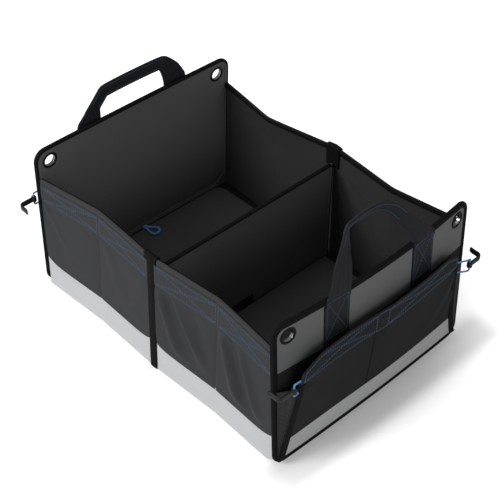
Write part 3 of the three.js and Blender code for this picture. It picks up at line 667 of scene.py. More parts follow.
@dataclass(frozen=True)
class Fold:
    """One soft fold of a cloth panel, from one place to another along it and up it."""

    start: tuple[float, float]
    stop: tuple[float, float]
    height: float
    width: float = 9 * MM
    spread: float = 1.6

    def relief(self, along: Array, up: Array) -> Array:
        """Height of the fold: a bell across its line that widens and dies away along it.

        Args:
            along: Distance along the panel.
            up: Height on the panel.

        Returns:
            Height of the cloth above the flat panel.
        """
        a, b = np.array(self.start), np.array(self.stop)
        line = b - a
        length = float(np.linalg.norm(line))
        unit_line = line / length
        dx, dz = along - a[0], up - a[1]
        t = (dx * unit_line[0] + dz * unit_line[1]) / length
        off = dx * unit_line[1] - dz * unit_line[0]
        width = self.width * (1.0 + (self.spread - 1.0) * np.clip(t, 0.0, 1.0))
        ends = smooth((t + 0.12) / 0.3) * smooth((1.15 - t) / 0.5)
        return self.height * ends * bell(off, width)


@dataclass(frozen=True)
class ShellForm:
    """Surfaces of the box that every piece follows, and the sizes that they are worked out from."""

    length: float = 575 * MM
    wall_span: float = 426 * MM
    overhang: float = 5 * MM
    panel_height: float = 290 * MM
    wall_height: float = 240 * MM
    divider_height: float = 212 * MM
    band_height: float = 58 * MM
    panel_thickness: float = 5 * MM
    wall_thickness: float = 2.4 * MM
    tape_thickness: float = 1.3 * MM
    seat_gap: float = 0.3 * MM
    front_bow: float = 14 * MM
    front_foot_bow: float = 4 * MM
    front_lean: float = 14 * MM
    rear_bow: float = 2 * MM
    rear_lean: float = 4 * MM
    crease_foot: float = 6 * MM
    waist_top: float = 5 * MM
    waist_foot: float = 1 * MM
    crease_softness: float = 0.05

    @property
    def tape_reach(self) -> float:
        """Outer face of a binding from the cloth that it holds."""
        return self.seat_gap + self.tape_thickness

    @property
    def half_wall(self) -> float:
        """Outside of a side wall at the corners, from the box's middle plane."""
        return self.wall_span / 2

    @property
    def panel_half(self) -> float:
        """Half of the end panel's width, inside its binding."""
        return self.half_wall + self.overhang - self.tape_reach

    @property
    def compartment_middle(self) -> float:
        """Distance of a crease from the divider."""
        return self.length / 4

    def end_reach(self, end: End, y: Array, z: Array) -> Array:
        """Distance of an end panel's middle surface from the box's middle.

        Args:
            end: Which end.
            y: Place across the box.
            z: Height.

        Returns:
            Half the length, less the lean's share of the height, plus a parabola for the bow, which is
            flatter at the front panel's foot.
        """
        bow, lean = self.rear_bow, self.rear_lean
        if end is End.FRONT:
            share = smooth(z / (0.7 * self.panel_height))
            bow, lean = mix(self.front_foot_bow, self.front_bow, share), self.front_lean
        return self.length / 2 - lean * z / self.panel_height + bow * (1.0 - (y / self.panel_half) ** 2)

    def crease_depth(self, side: Side, x: Array, z: Array) -> Array:
        """Depth of a crease: from its foot to its top, as a power of the height.

        Args:
            side: Which wall.
            x: Place along the box, which says which compartment.
            z: Height.

        Returns:
            Depth, deepest at the top of the right rear crease.
        """
        rise = np.clip(z / self.wall_height, 0.0, 1.04)
        deep = np.where(x < 0, 28 * MM, 20 * MM) if side is Side.RIGHT else np.where(x < 0, 17 * MM, 16 * MM)
        power = np.where(deep > 25 * MM, 5.0, 1.2)
        return self.crease_foot + (deep - self.crease_foot) * rise**power

    def wall_inset(self, side: Side, x: Array, z: Array) -> Array:
        """How far a side wall is drawn in: up to a rounded crease, and back to the divider or the end.

        Args:
            side: Which wall.
            x: Place along the box.
            z: Height.

        Returns:
            Distance from the flat wall.
        """
        rise = np.clip(z / self.wall_height, 0.0, 1.04)
        waist = mix(self.waist_foot, self.waist_top, rise)
        crease = self.crease_depth(side, x, z)
        reach = np.abs(x) / self.compartment_middle
        soft = self.crease_softness
        away = (np.sqrt((reach - 1.0) ** 2 + soft**2) - soft) / (math.sqrt(1.0 + soft**2) - soft)
        share = np.clip(1.0 - away, 0.0, 1.0)
        return np.where(reach < 1.0, mix(waist, crease, share), crease * share)

    def wall(self, side: Side, x: Array, z: Array, offset: Array | float = 0.0) -> Array:
        """Point of a side wall's middle surface, moved outwards by an offset."""
        y = self.half_wall - self.wall_thickness / 2 - self.wall_inset(side, x, z) + offset
        return np.stack(np.broadcast_arrays(x, side.value * y, z), axis=-1)

    def wall_top(self, x: Array) -> Array:
        """Height of a side wall's cloth: a little lower at the rear and higher at the front."""
        t = x / (self.length / 2)
        return self.wall_height + 2 * MM + 5 * MM * t - 3 * MM * t**2

    def wall_stop(self, end: End, z: Array) -> Array:
        """X of the line where a side wall meets an end panel's binding."""
        reach = self.end_reach(end, np.array(self.half_wall), z)
        return end.value * (reach - self.panel_thickness / 2 - self.tape_reach - 2 * self.seat_gap)

    def panel(self, end: End, y: Array, z: Array, offset: Array | float = 0.0) -> Array:
        """Point of an end panel's middle surface, moved outwards by an offset."""
        return np.stack(np.broadcast_arrays(end.value * (self.end_reach(end, y, z) + offset), y, z), axis=-1)


# Stitching


@dataclass
class Stitching:
    """Rows of thread on one part of the box, gathered into one mesh."""

    name: str
    body: str
    thread: float = 0.95 * MM
    length: float = 4.2 * MM
    gap: float = 0.9 * MM
    spacing: float = 3 * MM
    sides: int = 6
    parts: MeshParts = field(default_factory=MeshParts)

    def row(self, route: Array, normals: Array, length: float | None = None) -> None:
        """Adds stitches along a route on a surface.

        Each stitch is a thread that leaves the cloth, lies on it and goes back in: its middle line rises
        as a half sine, and its radius is full in the middle and small at the ends.

        Args:
            route: Points close together along the row.
            normals: Directions off the cloth at those points.
            length: Length of one stitch, else the usual one.
        """
        long = self.length if length is None else length
        along = run_lengths(route)
        count = int(along[-1] // (long + self.gap))
        if count < 1:
            return
        pitch = along[-1] / count
        t = np.linspace(-0.5, 0.5, 5)
        where = ((np.arange(count) + 0.5) * pitch)[:, None] + t[None] * (pitch - self.gap)
        centre = np.stack([np.interp(where, along, route[:, k]) for k in range(3)], axis=-1)
        normal = unit(np.stack([np.interp(where, along, normals[:, k]) for k in range(3)], axis=-1))
        forward = unit(centre[:, -1] - centre[:, 0])[:, None]
        across = unit(np.cross(forward, normal))
        rise = self.thread * (0.62 * np.cos(math.pi * t) - 0.3)
        radius = 0.5 * self.thread * np.sqrt(np.clip(1.0 - (1.86 * t) ** 4, 0.05, 1.0))
        angle = full_turn(self.sides)
        ring = (
            across[:, :, None] * np.cos(angle)[None, None, :, None]
            + normal[:, :, None] * np.sin(angle)[None, None, :, None]
        )
        points = centre[:, :, None] + normal[:, :, None] * rise[None, :, None, None]
        points = points + ring * radius[None, :, None, None]
        first = self.parts.add_points(points)
        rings = len(t)
        quads = grid_quads(rings, self.sides, wrap_columns=True)
        local = quads[..., 0] * self.sides + quads[..., 1] % self.sides
        index = first + local[None] + (np.arange(count) * rings * self.sides)[:, None, None]
        around = quads[..., 1] * (math.pi * self.thread / self.sides)
        run = quads[..., 0] * (long / (rings - 1))
        pattern = np.broadcast_to(np.stack([run, around], axis=-1), index.shape + (2,))
        self.parts.add_faces(index.reshape(-1, 4), pattern)
        ends = np.concatenate([np.arange(self.sides)[::-1], np.arange(self.sides) + (rings - 1) * self.sides])
        starts = (first + np.arange(count) * rings * self.sides)[:, None, None]
        caps = ends.reshape(2, self.sides)[None] + starts
        flat = caps.reshape(-1, self.sides)
        self.parts.add_faces(flat, np.zeros(flat.shape + (2,)))

    def on_surface(
        self, place: SurfacePlace, corners: Sequence[tuple[float, float]], length: float | None = None
    ) -> None:
        """Adds a row along straight lines in a surface's own two coordinates.

        Args:
            place: Surface as a function of two coordinates.
            corners: Corners of the row in those coordinates.
            length: Length of one stitch, else the usual one.
        """
        line = np.array(corners, float)
        flat = resample(line, max(8, int(run_lengths(line)[-1] / self.spacing)))
        a, b = flat[:, 0], flat[:, 1]
        step = 0.5 * MM
        slope_a = place(a + step, b) - place(a - step, b)
        slope_b = place(a, b + step) - place(a, b - step)
        normal = unit(np.cross(slope_a, slope_b))
        normal = normal * np.sign(np.sum(normal * place.outside, axis=-1, keepdims=True))
        self.row(place(a, b), normal, length)

    def make(self, finishes: Finishes) -> bpy.types.Object:
        """Blender object of all the rows."""
        piece = self.parts.make(self.name)
        return dress(piece, [finishes.get("blue_thread")], self.body, "blue_cord")


def dress(
    piece: bpy.types.Object, materials: Sequence[bpy.types.Material], body: str, slot: str, *nodes: str
) -> bpy.types.Object:
    """Gives a piece its materials and its body, and hides the CAD nodes that it stands for.

    Args:
        piece: The Blender object.
        materials: Materials in the order of the mesh's finishes.
        body: Body that it moves with.
        slot: Material slot of the record; not used.
        nodes: Nodes that it replaces.

    Returns:
        The same object.
    """
    for material in materials:
        piece.data.materials.append(material)
    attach(piece, body)
    if nodes:
        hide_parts(*nodes)
    LOG.info("%s: %d faces on %s", piece.name, len(piece.data.polygons), body)
    return piece


class SurfacePlace:
    """A surface as a function of two coordinates, with the direction that counts as outside."""

    def __init__(self, place: Place, outside: Sequence[float]) -> None:
        """Keeps the function and the direction."""
        self.place = place
        self.outside = np.array(outside, float)

    def __call__(self, a: Array, b: Array) -> Array:
        """Points of the surface."""
        return self.place(a, b)


# Folded tapes


@dataclass(frozen=True)
class FoldedTape:
    """Tape folded over an edge: its width each side, its half thickness there and its bulge.

    The cloth's own finish starts at the shown width, where that is less than the whole.
    """

    width: float = 10 * MM
    half: float = 4.0 * MM
    shown: float = 5.5 * MM
    lip: float = 1.0 * MM
    pucker: float = 0.12 * MM
    pucker_pitch: float = 7 * MM

    def profile(self) -> Array:
        """Closed outline across the tape: inwards from the edge first, off the cloth second."""
        angle = np.linspace(math.pi / 2, 1.5 * math.pi, 11)
        nose = np.stack([self.half * 0.9 * (1.0 + np.cos(angle)), self.half * np.sin(angle)], axis=-1)
        inner = self.half - self.lip
        back = [
            [self.shown, -self.half * 0.97], [self.width - 0.4 * MM, -self.half * 0.86],
            [self.width, -inner * 0.9], [self.width, inner * 0.9],
            [self.width - 0.4 * MM, self.half * 0.86], [self.shown, self.half * 0.97],
        ]
        return np.concatenate([nose, np.array(back)])

    def columns(self, parts: MeshParts) -> tuple[Array, Array]:
        """Middle of each face across the tape: its distance from the edge and off the cloth."""
        outline = self.profile()
        middle = 0.5 * (outline + np.roll(outline, -1, axis=0))
        column = np.arange(len(parts.faces)) % len(outline)
        return middle[column, 0], middle[column, 1]

    def along(self, route: Array, inward: Array, normal: Array, closed: bool = False) -> MeshParts:
        """Tape along an edge, slightly puckered by its stitches.

        Args:
            route: Points of the folded edge.
            inward: Directions over the cloth, away from the edge.
            normal: Directions off the cloth.
            closed: Whether the route closes on itself.

        Returns:
            Mesh parts of the tape.
        """
        outline = self.profile()
        run = run_lengths(route)
        wave = self.pucker * np.sin(2.0 * math.pi * run / self.pucker_pitch)
        share = np.clip(outline[:, 0] / self.width, 0.0, 1.0) * np.sign(outline[:, 1])
        stations = (
            route[:, None]
            + inward[:, None] * outline[None, :, 0, None]
            + normal[:, None] * (outline[None, :, 1] + wave[:, None] * share[None])[..., None]
        )
        return outward(sweep(stations, closed=closed))


# Sub-assemblies


@dataclass
class Assembly:
    """Part of the box: the shape that it follows, and the finishes of its pieces."""

    form: ShellForm
    finishes: Finishes

    def piece(
        self, parts: MeshParts, name: str, looks: Sequence[str], slot: str, *nodes: str, body: str = "shell"
    ) -> bpy.types.Object:
        """Makes one piece and dresses it.

        Args:
            parts: Its mesh.
            name: Its name.
            looks: Names of its finishes, in the order of the mesh's finishes.
            slot: Material slot of the record.
            nodes: Nodes that it replaces.
            body: Body that it moves with.

        Returns:
            The Blender object.
        """
        return dress(parts.make(name), [self.finishes.get(look) for look in looks], body, slot, *nodes)


@dataclass
class EndPanel(Assembly):
    """Stiff end: board with two faces, folded binding and eyelets; its webbing handle is a piece of its own.
    """

    end: End
    corner: float = 22 * MM
    tape_width: float = 10 * MM
    bore: float = 21 * MM
    flange: float = 29.5 * MM
    eyelet_inset: float = 30 * MM
    eyelet_drop: float = 28 * MM
    # Height below which the panel's outer face takes the dark pocket cloth, as painted shade inside the
    # pocket's mouth.
    pocket_lining: float = 197 * MM
    turn_up_foot: float = 7 * MM
    turn_up_corner: float = 27 * MM
    turn_up_rise: float = 6 * MM
    turn_up_cloth: float = 1.2 * MM

    def heights(self) -> Array:
        """Rows up the panel, close together in the rounded corners."""
        low, high = self.form.tape_reach, self.form.panel_height - self.form.tape_reach
        arc = self.corner * (1.0 - np.cos(np.linspace(0.0, math.pi / 2, 9)))
        middle = np.linspace(low + self.corner, high - self.corner, 22)[1:-1]
        return np.unique(np.concatenate([low + arc, middle, [self.pocket_lining], (high - arc)[::-1]]))

    def half_width(self, z: Array) -> Array:
        """Half of the panel's width at a height: a quarter circle is cut off at each corner."""
        low, high = self.form.tape_reach, self.form.panel_height - self.form.tape_reach
        return self.form.panel_half - rounded_off(self.corner - np.minimum(z - low, high - z), self.corner)

    def slack(self, y: Array, z: Array) -> Array:
        """Slight waviness of the cloth on the board, as two slow sines, still at the edges."""
        wave = np.sin(y * 31.0 + 1.3) * np.sin(z * 23.0 + 0.4) + 0.6 * np.sin(y * 17.0 - z * 29.0)
        edge = smooth((self.form.panel_half - np.abs(y)) / (40 * MM))
        return 0.35 * MM * wave * edge

    def board(self) -> bpy.types.Object:
        """Board, grey outside with the lining's finish inside, and a hole for each eyelet; below the pocket's
        mouth its outer face takes the dark cloth as painted shade.
        """
        z = self.heights()[:, None]
        y = np.linspace(-1.0, 1.0, 49)[None] * self.half_width(z)
        z = np.broadcast_to(z, y.shape)
        half = self.form.panel_thickness / 2
        outer = self.form.panel(self.end, y, z, half + self.slack(y, z))
        inner = self.form.panel(self.end, y, z, -half - self.slack(-y, z))
        parts = skin(outer, inner, back_finish=1, rim_finish=1)
        # Painted shade: outer faces below the pocket's mouth take the dark pocket cloth.
        shaded_faces = (z[:-1, 0] < self.pocket_lining - 0.5 * MM).sum() * (z.shape[1] - 1)
        parts.finishes[:shaded_faces] = [2] * shaded_faces
        piece = parts.make(f"{self.end.word}_panel_board")
        for side in Side:
            self.cut_eyelet(piece, side)
        materials = [self.finishes.get(name) for name in ("grey_cloth", "panel_lining", "pocket_cloth")]
        return dress(piece, materials, "shell", "panel_cloth", f"{self.end.word}_end_panel")

    def eyelet_centre(self, side: Side) -> tuple[Array, Array]:
        """Middle of an eyelet on the panel, and the direction square to the panel there."""
        y = side.value * (self.form.half_wall + self.form.overhang - self.eyelet_inset)
        z = self.form.panel_height - self.eyelet_drop
        here = self.form.panel(self.end, np.array(y), np.array(z))
        step = 1 * MM
        up = self.form.panel(self.end, np.array(y), np.array(z + step)) - here
        across = self.form.panel(self.end, np.array(y + step), np.array(z)) - here
        return here, unit(np.cross(across, up)) * self.end.value

    def cut_eyelet(self, piece: bpy.types.Object, side: Side) -> None:
        """Cuts one eyelet's hole through the board."""
        here, normal = self.eyelet_centre(side)
        ring = ring_about(normal, 40)
        radius = self.bore / 2 + 1.6 * MM
        stations = np.stack([here + ring * radius + normal * depth for depth in (-9 * MM, 9 * MM)])
        cutter = outward(sweep(stations)).make("eyelet_cutter")
        cut = piece.modifiers.new("eyelet", "BOOLEAN")
        cut.operation = "DIFFERENCE"
        cut.solver = "EXACT"
        cut.object = cutter
        apply_modifiers(piece)
        bpy.data.objects.remove(cutter)

    def eyelets(self) -> None:
        """Round eyelets: a closed profile turned about the hole's axis."""
        bore, flange = self.bore / 2, self.flange / 2
        seat = self.form.panel_thickness / 2 + 0.1 * MM
        face = seat + 1.7 * MM
        curve = np.linspace(0.0, math.pi, 13)
        middle, reach = (bore + flange) / 2, (flange - bore) / 2
        lift = (face - seat) * np.sin(curve) ** 0.75
        rim = np.stack([middle + reach * np.cos(curve), seat + lift], axis=-1)
        rim[0, 1] = rim[-1, 1] = seat
        profile = np.concatenate([rim, (rim * [1, -1])[::-1]])
        profile = np.concatenate([profile, [[bore + 2.2 * MM, -seat * 0.6], [bore + 2.2 * MM, seat * 0.6]]])
        profile[12:14, 0] = bore
        for side in Side:
            here, normal = self.eyelet_centre(side)
            ring = ring_about(normal, 56)
            points = here + ring[:, None] * profile[None, :, 0, None] + normal * profile[None, :, 1, None]
            name = f"{self.end.word}_{side.word}"
            parts = outward(sweep(points, closed=True))
            bore_column = len(rim) - 1
            parts.finishes = [int(face % len(profile) == bore_column) for face in range(len(parts.faces))]
            looks = ["eyelet_metal", "bore_metal"]
            self.piece(parts, f"{name}_eyelet_ring", looks, "eyelet_metal", f"{name}_eyelet")

    def binding(self) -> bpy.types.Object:
        """Tape folded round the whole edge of the panel."""
        half = self.form.panel_half + self.form.tape_reach
        high = self.form.panel_height
        radius = self.corner + self.form.tape_reach
        quarter = np.linspace(0.0, math.pi / 2, 13)
        corners = []
        for k, (y, z) in enumerate([(half, 0.0), (half, high), (-half, high), (-half, 0.0)]):
            centre = np.array([y - math.copysign(radius, y), radius if z == 0.0 else high - radius])
            turn = quarter + (k - 1) * math.pi / 2
            corners.append(centre + radius * np.stack([np.cos(turn), np.sin(turn)], axis=-1))
        outline = np.concatenate([*corners, corners[0][:1]])
        flat = resample(outline, 760)[:-1]
        step = unit(np.roll(flat, -1, axis=0) - np.roll(flat, 1, axis=0))
        inward = np.stack([-step[:, 1], step[:, 0]], axis=-1)
        route = self.form.panel(self.end, flat[:, 0], flat[:, 1])
        over = flat + inward * 1 * MM
        across = unit(self.form.panel(self.end, over[:, 0], over[:, 1]) - route)
        forward = unit(np.roll(route, -1, axis=0) - np.roll(route, 1, axis=0))
        tape = FoldedTape(width=self.tape_width, half=self.form.panel_thickness / 2 + self.form.tape_reach)
        parts = tape.along(route, across, unit(np.cross(forward, across)), closed=True)
        self.cover_inside(parts, tape)
        looks, name = ["binding_tape", "panel_lining"], f"{self.end.word}_end_binding"
        return self.piece(parts, f"{self.end.word}_panel_binding", looks, "binding_tape", name)

    def cover_inside(self, parts: MeshParts, tape: FoldedTape) -> None:
        """Gives the lining's finish to the tape's inner face, beside the walls and past its shown width."""
        points = np.concatenate(parts.points)
        middle = points[np.array(parts.faces)].mean(axis=1)
        off = self.end.value * middle[:, 0] - self.form.end_reach(self.end, middle[:, 1], middle[:, 2])
        from_edge, _ = tape.columns(parts)
        side = np.abs(middle[:, 1])
        beside_wall = (side > self.form.half_wall - 20 * MM) & (middle[:, 2] < self.form.wall_height - 2 * MM)
        inside = side < self.form.half_wall - 1 * MM
        covered = (off < -2.4 * MM) & inside & (beside_wall | (from_edge > tape.shown))
        parts.finishes = covered.astype(int).tolist()

    def turn_up(self) -> bpy.types.Object:
        """Bottom cloth's end, turned up on the panel's foot and higher in its rounded corners."""
        reach = self.form.panel_thickness / 2 + self.form.tape_reach + self.turn_up_cloth
        half = self.form.half_wall - self.form.wall_thickness - 1 * MM
        y = np.linspace(-half, half, 120)[None]
        corner = smooth((np.abs(y) - half + 30 * MM) / (22 * MM))
        top = mix(self.turn_up_foot, self.turn_up_corner, corner)
        low = 0.4 * MM
        if self.end is End.FRONT:
            rise = rounded_off(np.abs(y) - self.form.panel_half + self.corner, self.corner)
            low = low + np.minimum(rise, self.turn_up_rise)
        z = mix(low, top, np.linspace(0.0, 1.0, 12)[:, None])
        y = np.broadcast_to(y, z.shape)
        outer = self.form.panel(self.end, y, z, -reach)
        inner = self.form.panel(self.end, y, z, -reach - self.turn_up_cloth)
        return self.piece(
            skin(outer, inner), f"{self.end.word}_floor_turn_up", ["panel_lining"], "lining_cloth")

    def build(self) -> None:
        """Makes the whole end but its handle and pocket."""
        self.board()
        self.turn_up()
        self.binding()
        self.eyelets()


def apply_modifiers(piece: bpy.types.Object) -> None:
    """Puts a piece's modifiers into its mesh."""
    bpy.context.view_layer.update()
    graph = bpy.context.evaluated_depsgraph_get()
    seen = piece.evaluated_get(graph)
    mesh = bpy.data.meshes.new_from_object(seen, preserve_all_data_layers=True, depsgraph=graph)
    old = piece.data
    piece.modifiers.clear()
    piece.data = mesh
    mesh.name = old.name
    bpy.data.meshes.remove(old)


@dataclass(frozen=True)
class HandlePoint:
    """Corner of a handle's middle line, in millimetres, with the webbing's fold and twist there.

    The fold runs lengthwise. It lies crease away from the middle line, past the edge where there is none.
    """

    y: float
    z: float
    crease: float = 27.0
    twist: float = 0.0


REAR_SPINE = (
    HandlePoint(-96, 185), HandlePoint(-96, 290), HandlePoint(-96, 302, 13), HandlePoint(-96, 316, 0),
    HandlePoint(-75, 338, 0), HandlePoint(-68, 346, 0), HandlePoint(-58, 349, 0), HandlePoint(0, 350, 0),
    HandlePoint(64, 349, 0), HandlePoint(76, 346, 0), HandlePoint(84, 335, 4), HandlePoint(91, 318, 13),
    HandlePoint(95, 300, 20), HandlePoint(96, 288), HandlePoint(96, 185),
)
FRONT_SPINE = (
    HandlePoint(-96, 185), HandlePoint(-96, 287), HandlePoint(-95, 300, 13), HandlePoint(-87, 327, 12),
    HandlePoint(-83, 345, 3, 6), HandlePoint(-77, 358, 0, 18), HandlePoint(-68, 371, 0, 32),
    HandlePoint(-60, 381, 0, 40), HandlePoint(-48, 386, 0, 42), HandlePoint(-12, 389, 0, 42),
    HandlePoint(12, 387, 0, 42), HandlePoint(34, 379, 0, 42), HandlePoint(52, 367, 0, 38),
    HandlePoint(66, 350, 0, 30), HandlePoint(77, 331, 2, 22), HandlePoint(86, 312, 9, 12),
    HandlePoint(94, 297, 15, 4), HandlePoint(96, 286), HandlePoint(96, 185),
)


@dataclass
class Handle(Assembly):
    """Webbing handle: flat tabs on the panel, legs that fold lengthwise, and a doubled grip."""

    end: End
    spine: tuple[HandlePoint, ...]
    lean: float
    width: float = 50 * MM
    thickness: float = 1.9 * MM
    fold_radius: float = 1.4 * MM
    full_fold: float = math.radians(177)

    def seat(self, z: Array) -> Array:
        """How far the webbing's middle lies from the panel's middle: it climbs over the binding."""
        flat = self.form.panel_thickness / 2 + self.thickness / 2 + 0.3 * MM
        over = flat + self.form.tape_reach
        return mix(flat, over, smooth((z - 270 * MM) / (9 * MM)))

    def place(self, y: Array, z: Array, off: Array) -> Array:
        """Point on the handle's own surface: on the panel, then leaning over above its top edge."""
        bend = self.form.panel_height
        above = np.maximum(z - bend, 0.0)
        over = above**2 / (above + 10 * MM)
        reach = self.form.end_reach(self.end, y, np.minimum(z, bend)) + self.lean * over
        return np.stack([self.end.value * (reach + self.seat(z) + off), y, z], axis=-1)

    def stations(self) -> tuple[Array, Array, Array, Array]:
        """Middle line of the webbing with the direction across it, its fold and its twist.

        Returns:
            Points in Y and Z, outward directions across the webbing, places of the fold across it, and
            angles of the twist.
        """
        corners = np.array([[p.y * MM, p.z * MM, p.crease * MM, math.radians(p.twist)] for p in self.spine])
        route = rounded_route(corners, 190, passes=3, measured=2)
        step = unit(np.gradient(route[:, :2], axis=0))
        across = np.stack([-step[:, 1], step[:, 0]], axis=-1)
        return route[:, :2], across, route[:, 2], route[:, 3]

    def section(self, crease: Array, twist: Array, offset: float) -> Array:
        """Outline across the webbing in the outward and off directions, for each station.

        The webbing's heading turns from 0 to the full fold in a short stretch at the crease, and the
        section is the sum of its steps, moved square to them by the offset. The whole section then turns
        about the crease by the twist.

        Args:
            crease: Place of the fold across the webbing at each station.
            twist: Angle of the twist at each station.
            offset: Distance of the face from the webbing's middle.

        Returns:
            Array of stations, points across, and the two directions.
        """
        across = np.linspace(-self.width / 2, self.width / 2, 61)
        radius = self.fold_radius
        share = smooth((across[None] - crease[:, None] + radius) / (2 * radius))
        heading = self.full_fold * share
        step = across[1] - across[0]
        centred = 0.5 * (heading[:, 1:] + heading[:, :-1])
        start = np.zeros((len(crease), 1))
        run = np.concatenate([start, np.cumsum(np.cos(centred), axis=1) * step], axis=1) - self.width / 2
        off = np.concatenate([start, np.cumsum(np.sin(centred), axis=1) * step], axis=1)
        run = run - offset * np.sin(heading)
        off = off + offset * np.cos(heading)
        pivot = np.minimum(crease, self.width / 2)[:, None]
        cosine, sine = np.cos(twist)[:, None], np.sin(twist)[:, None]
        out = run - pivot
        return np.stack([pivot + out * cosine - off * sine, out * sine + off * cosine], axis=-1)

    def face(self, offset: float) -> Array:
        """Points of one face of the whole webbing."""
        route, across, crease, twist = self.stations()
        section = self.section(crease, twist, offset)
        y = route[:, None, 0] + across[:, None, 0] * section[..., 0]
        z = route[:, None, 1] + across[:, None, 1] * section[..., 0]
        return self.place(y, z, section[..., 1])

    def strap(self) -> bpy.types.Object:
        """The webbing as one closed piece."""
        front, back = self.face(self.thickness / 2), self.face(-self.thickness / 2)
        parts = skin(front.transpose(1, 0, 2), back.transpose(1, 0, 2))
        name = f"{self.end.word}_handle"
        return self.piece(parts, f"{name}_webbing", ["webbing"], "webbing", name)

    def tab_stitches(self, rows: Stitching) -> None:
        """Adds a boxed cross with a second box below it on both tabs."""
        tab = SurfacePlace(
            lambda y, z: self.place(y, z, np.full_like(y, self.thickness / 2)), (self.end.value, 0.0, 0.0))
        edge = self.width / 2 - 4 * MM
        top, knee, low = 284 * MM, 212 * MM, 192 * MM
        for middle in (self.spine[0].y * MM, self.spine[-1].y * MM):
            left, right = middle - edge, middle + edge
            rows.on_surface(tab, [(left, low), (left, top), (right, top), (right, low), (left, low)])
            rows.on_surface(tab, [(left, knee), (right, knee)])
            rows.on_surface(tab, [(left, top), (right, knee)])
            rows.on_surface(tab, [(left, knee), (right, top)])

    def stitches(self) -> bpy.types.Object:
        """Boxed crosses on both tabs, and rows along both layers of the grip."""
        rows = Stitching(f"{self.end.word}_handle_stitching", "shell")
        self.tab_stitches(rows)
        crease = self.stations()[2]
        grip = crease < 0.5 * MM
        out, under = self.face(-self.thickness / 2 - 0.1 * MM)[grip], self.face(0.0)[grip]
        last = out.shape[1] - 1
        inset = round(4.5 * MM / self.width * last)
        for column in (inset, last // 2 - inset, last // 2 + inset, last - inset):
            rows.row(out[:, column], unit(out[:, column] - under[:, column]))
        return rows.make(self.finishes)

    def build(self) -> None:
        """Makes the handle."""
        self.strap()
        self.stitches()


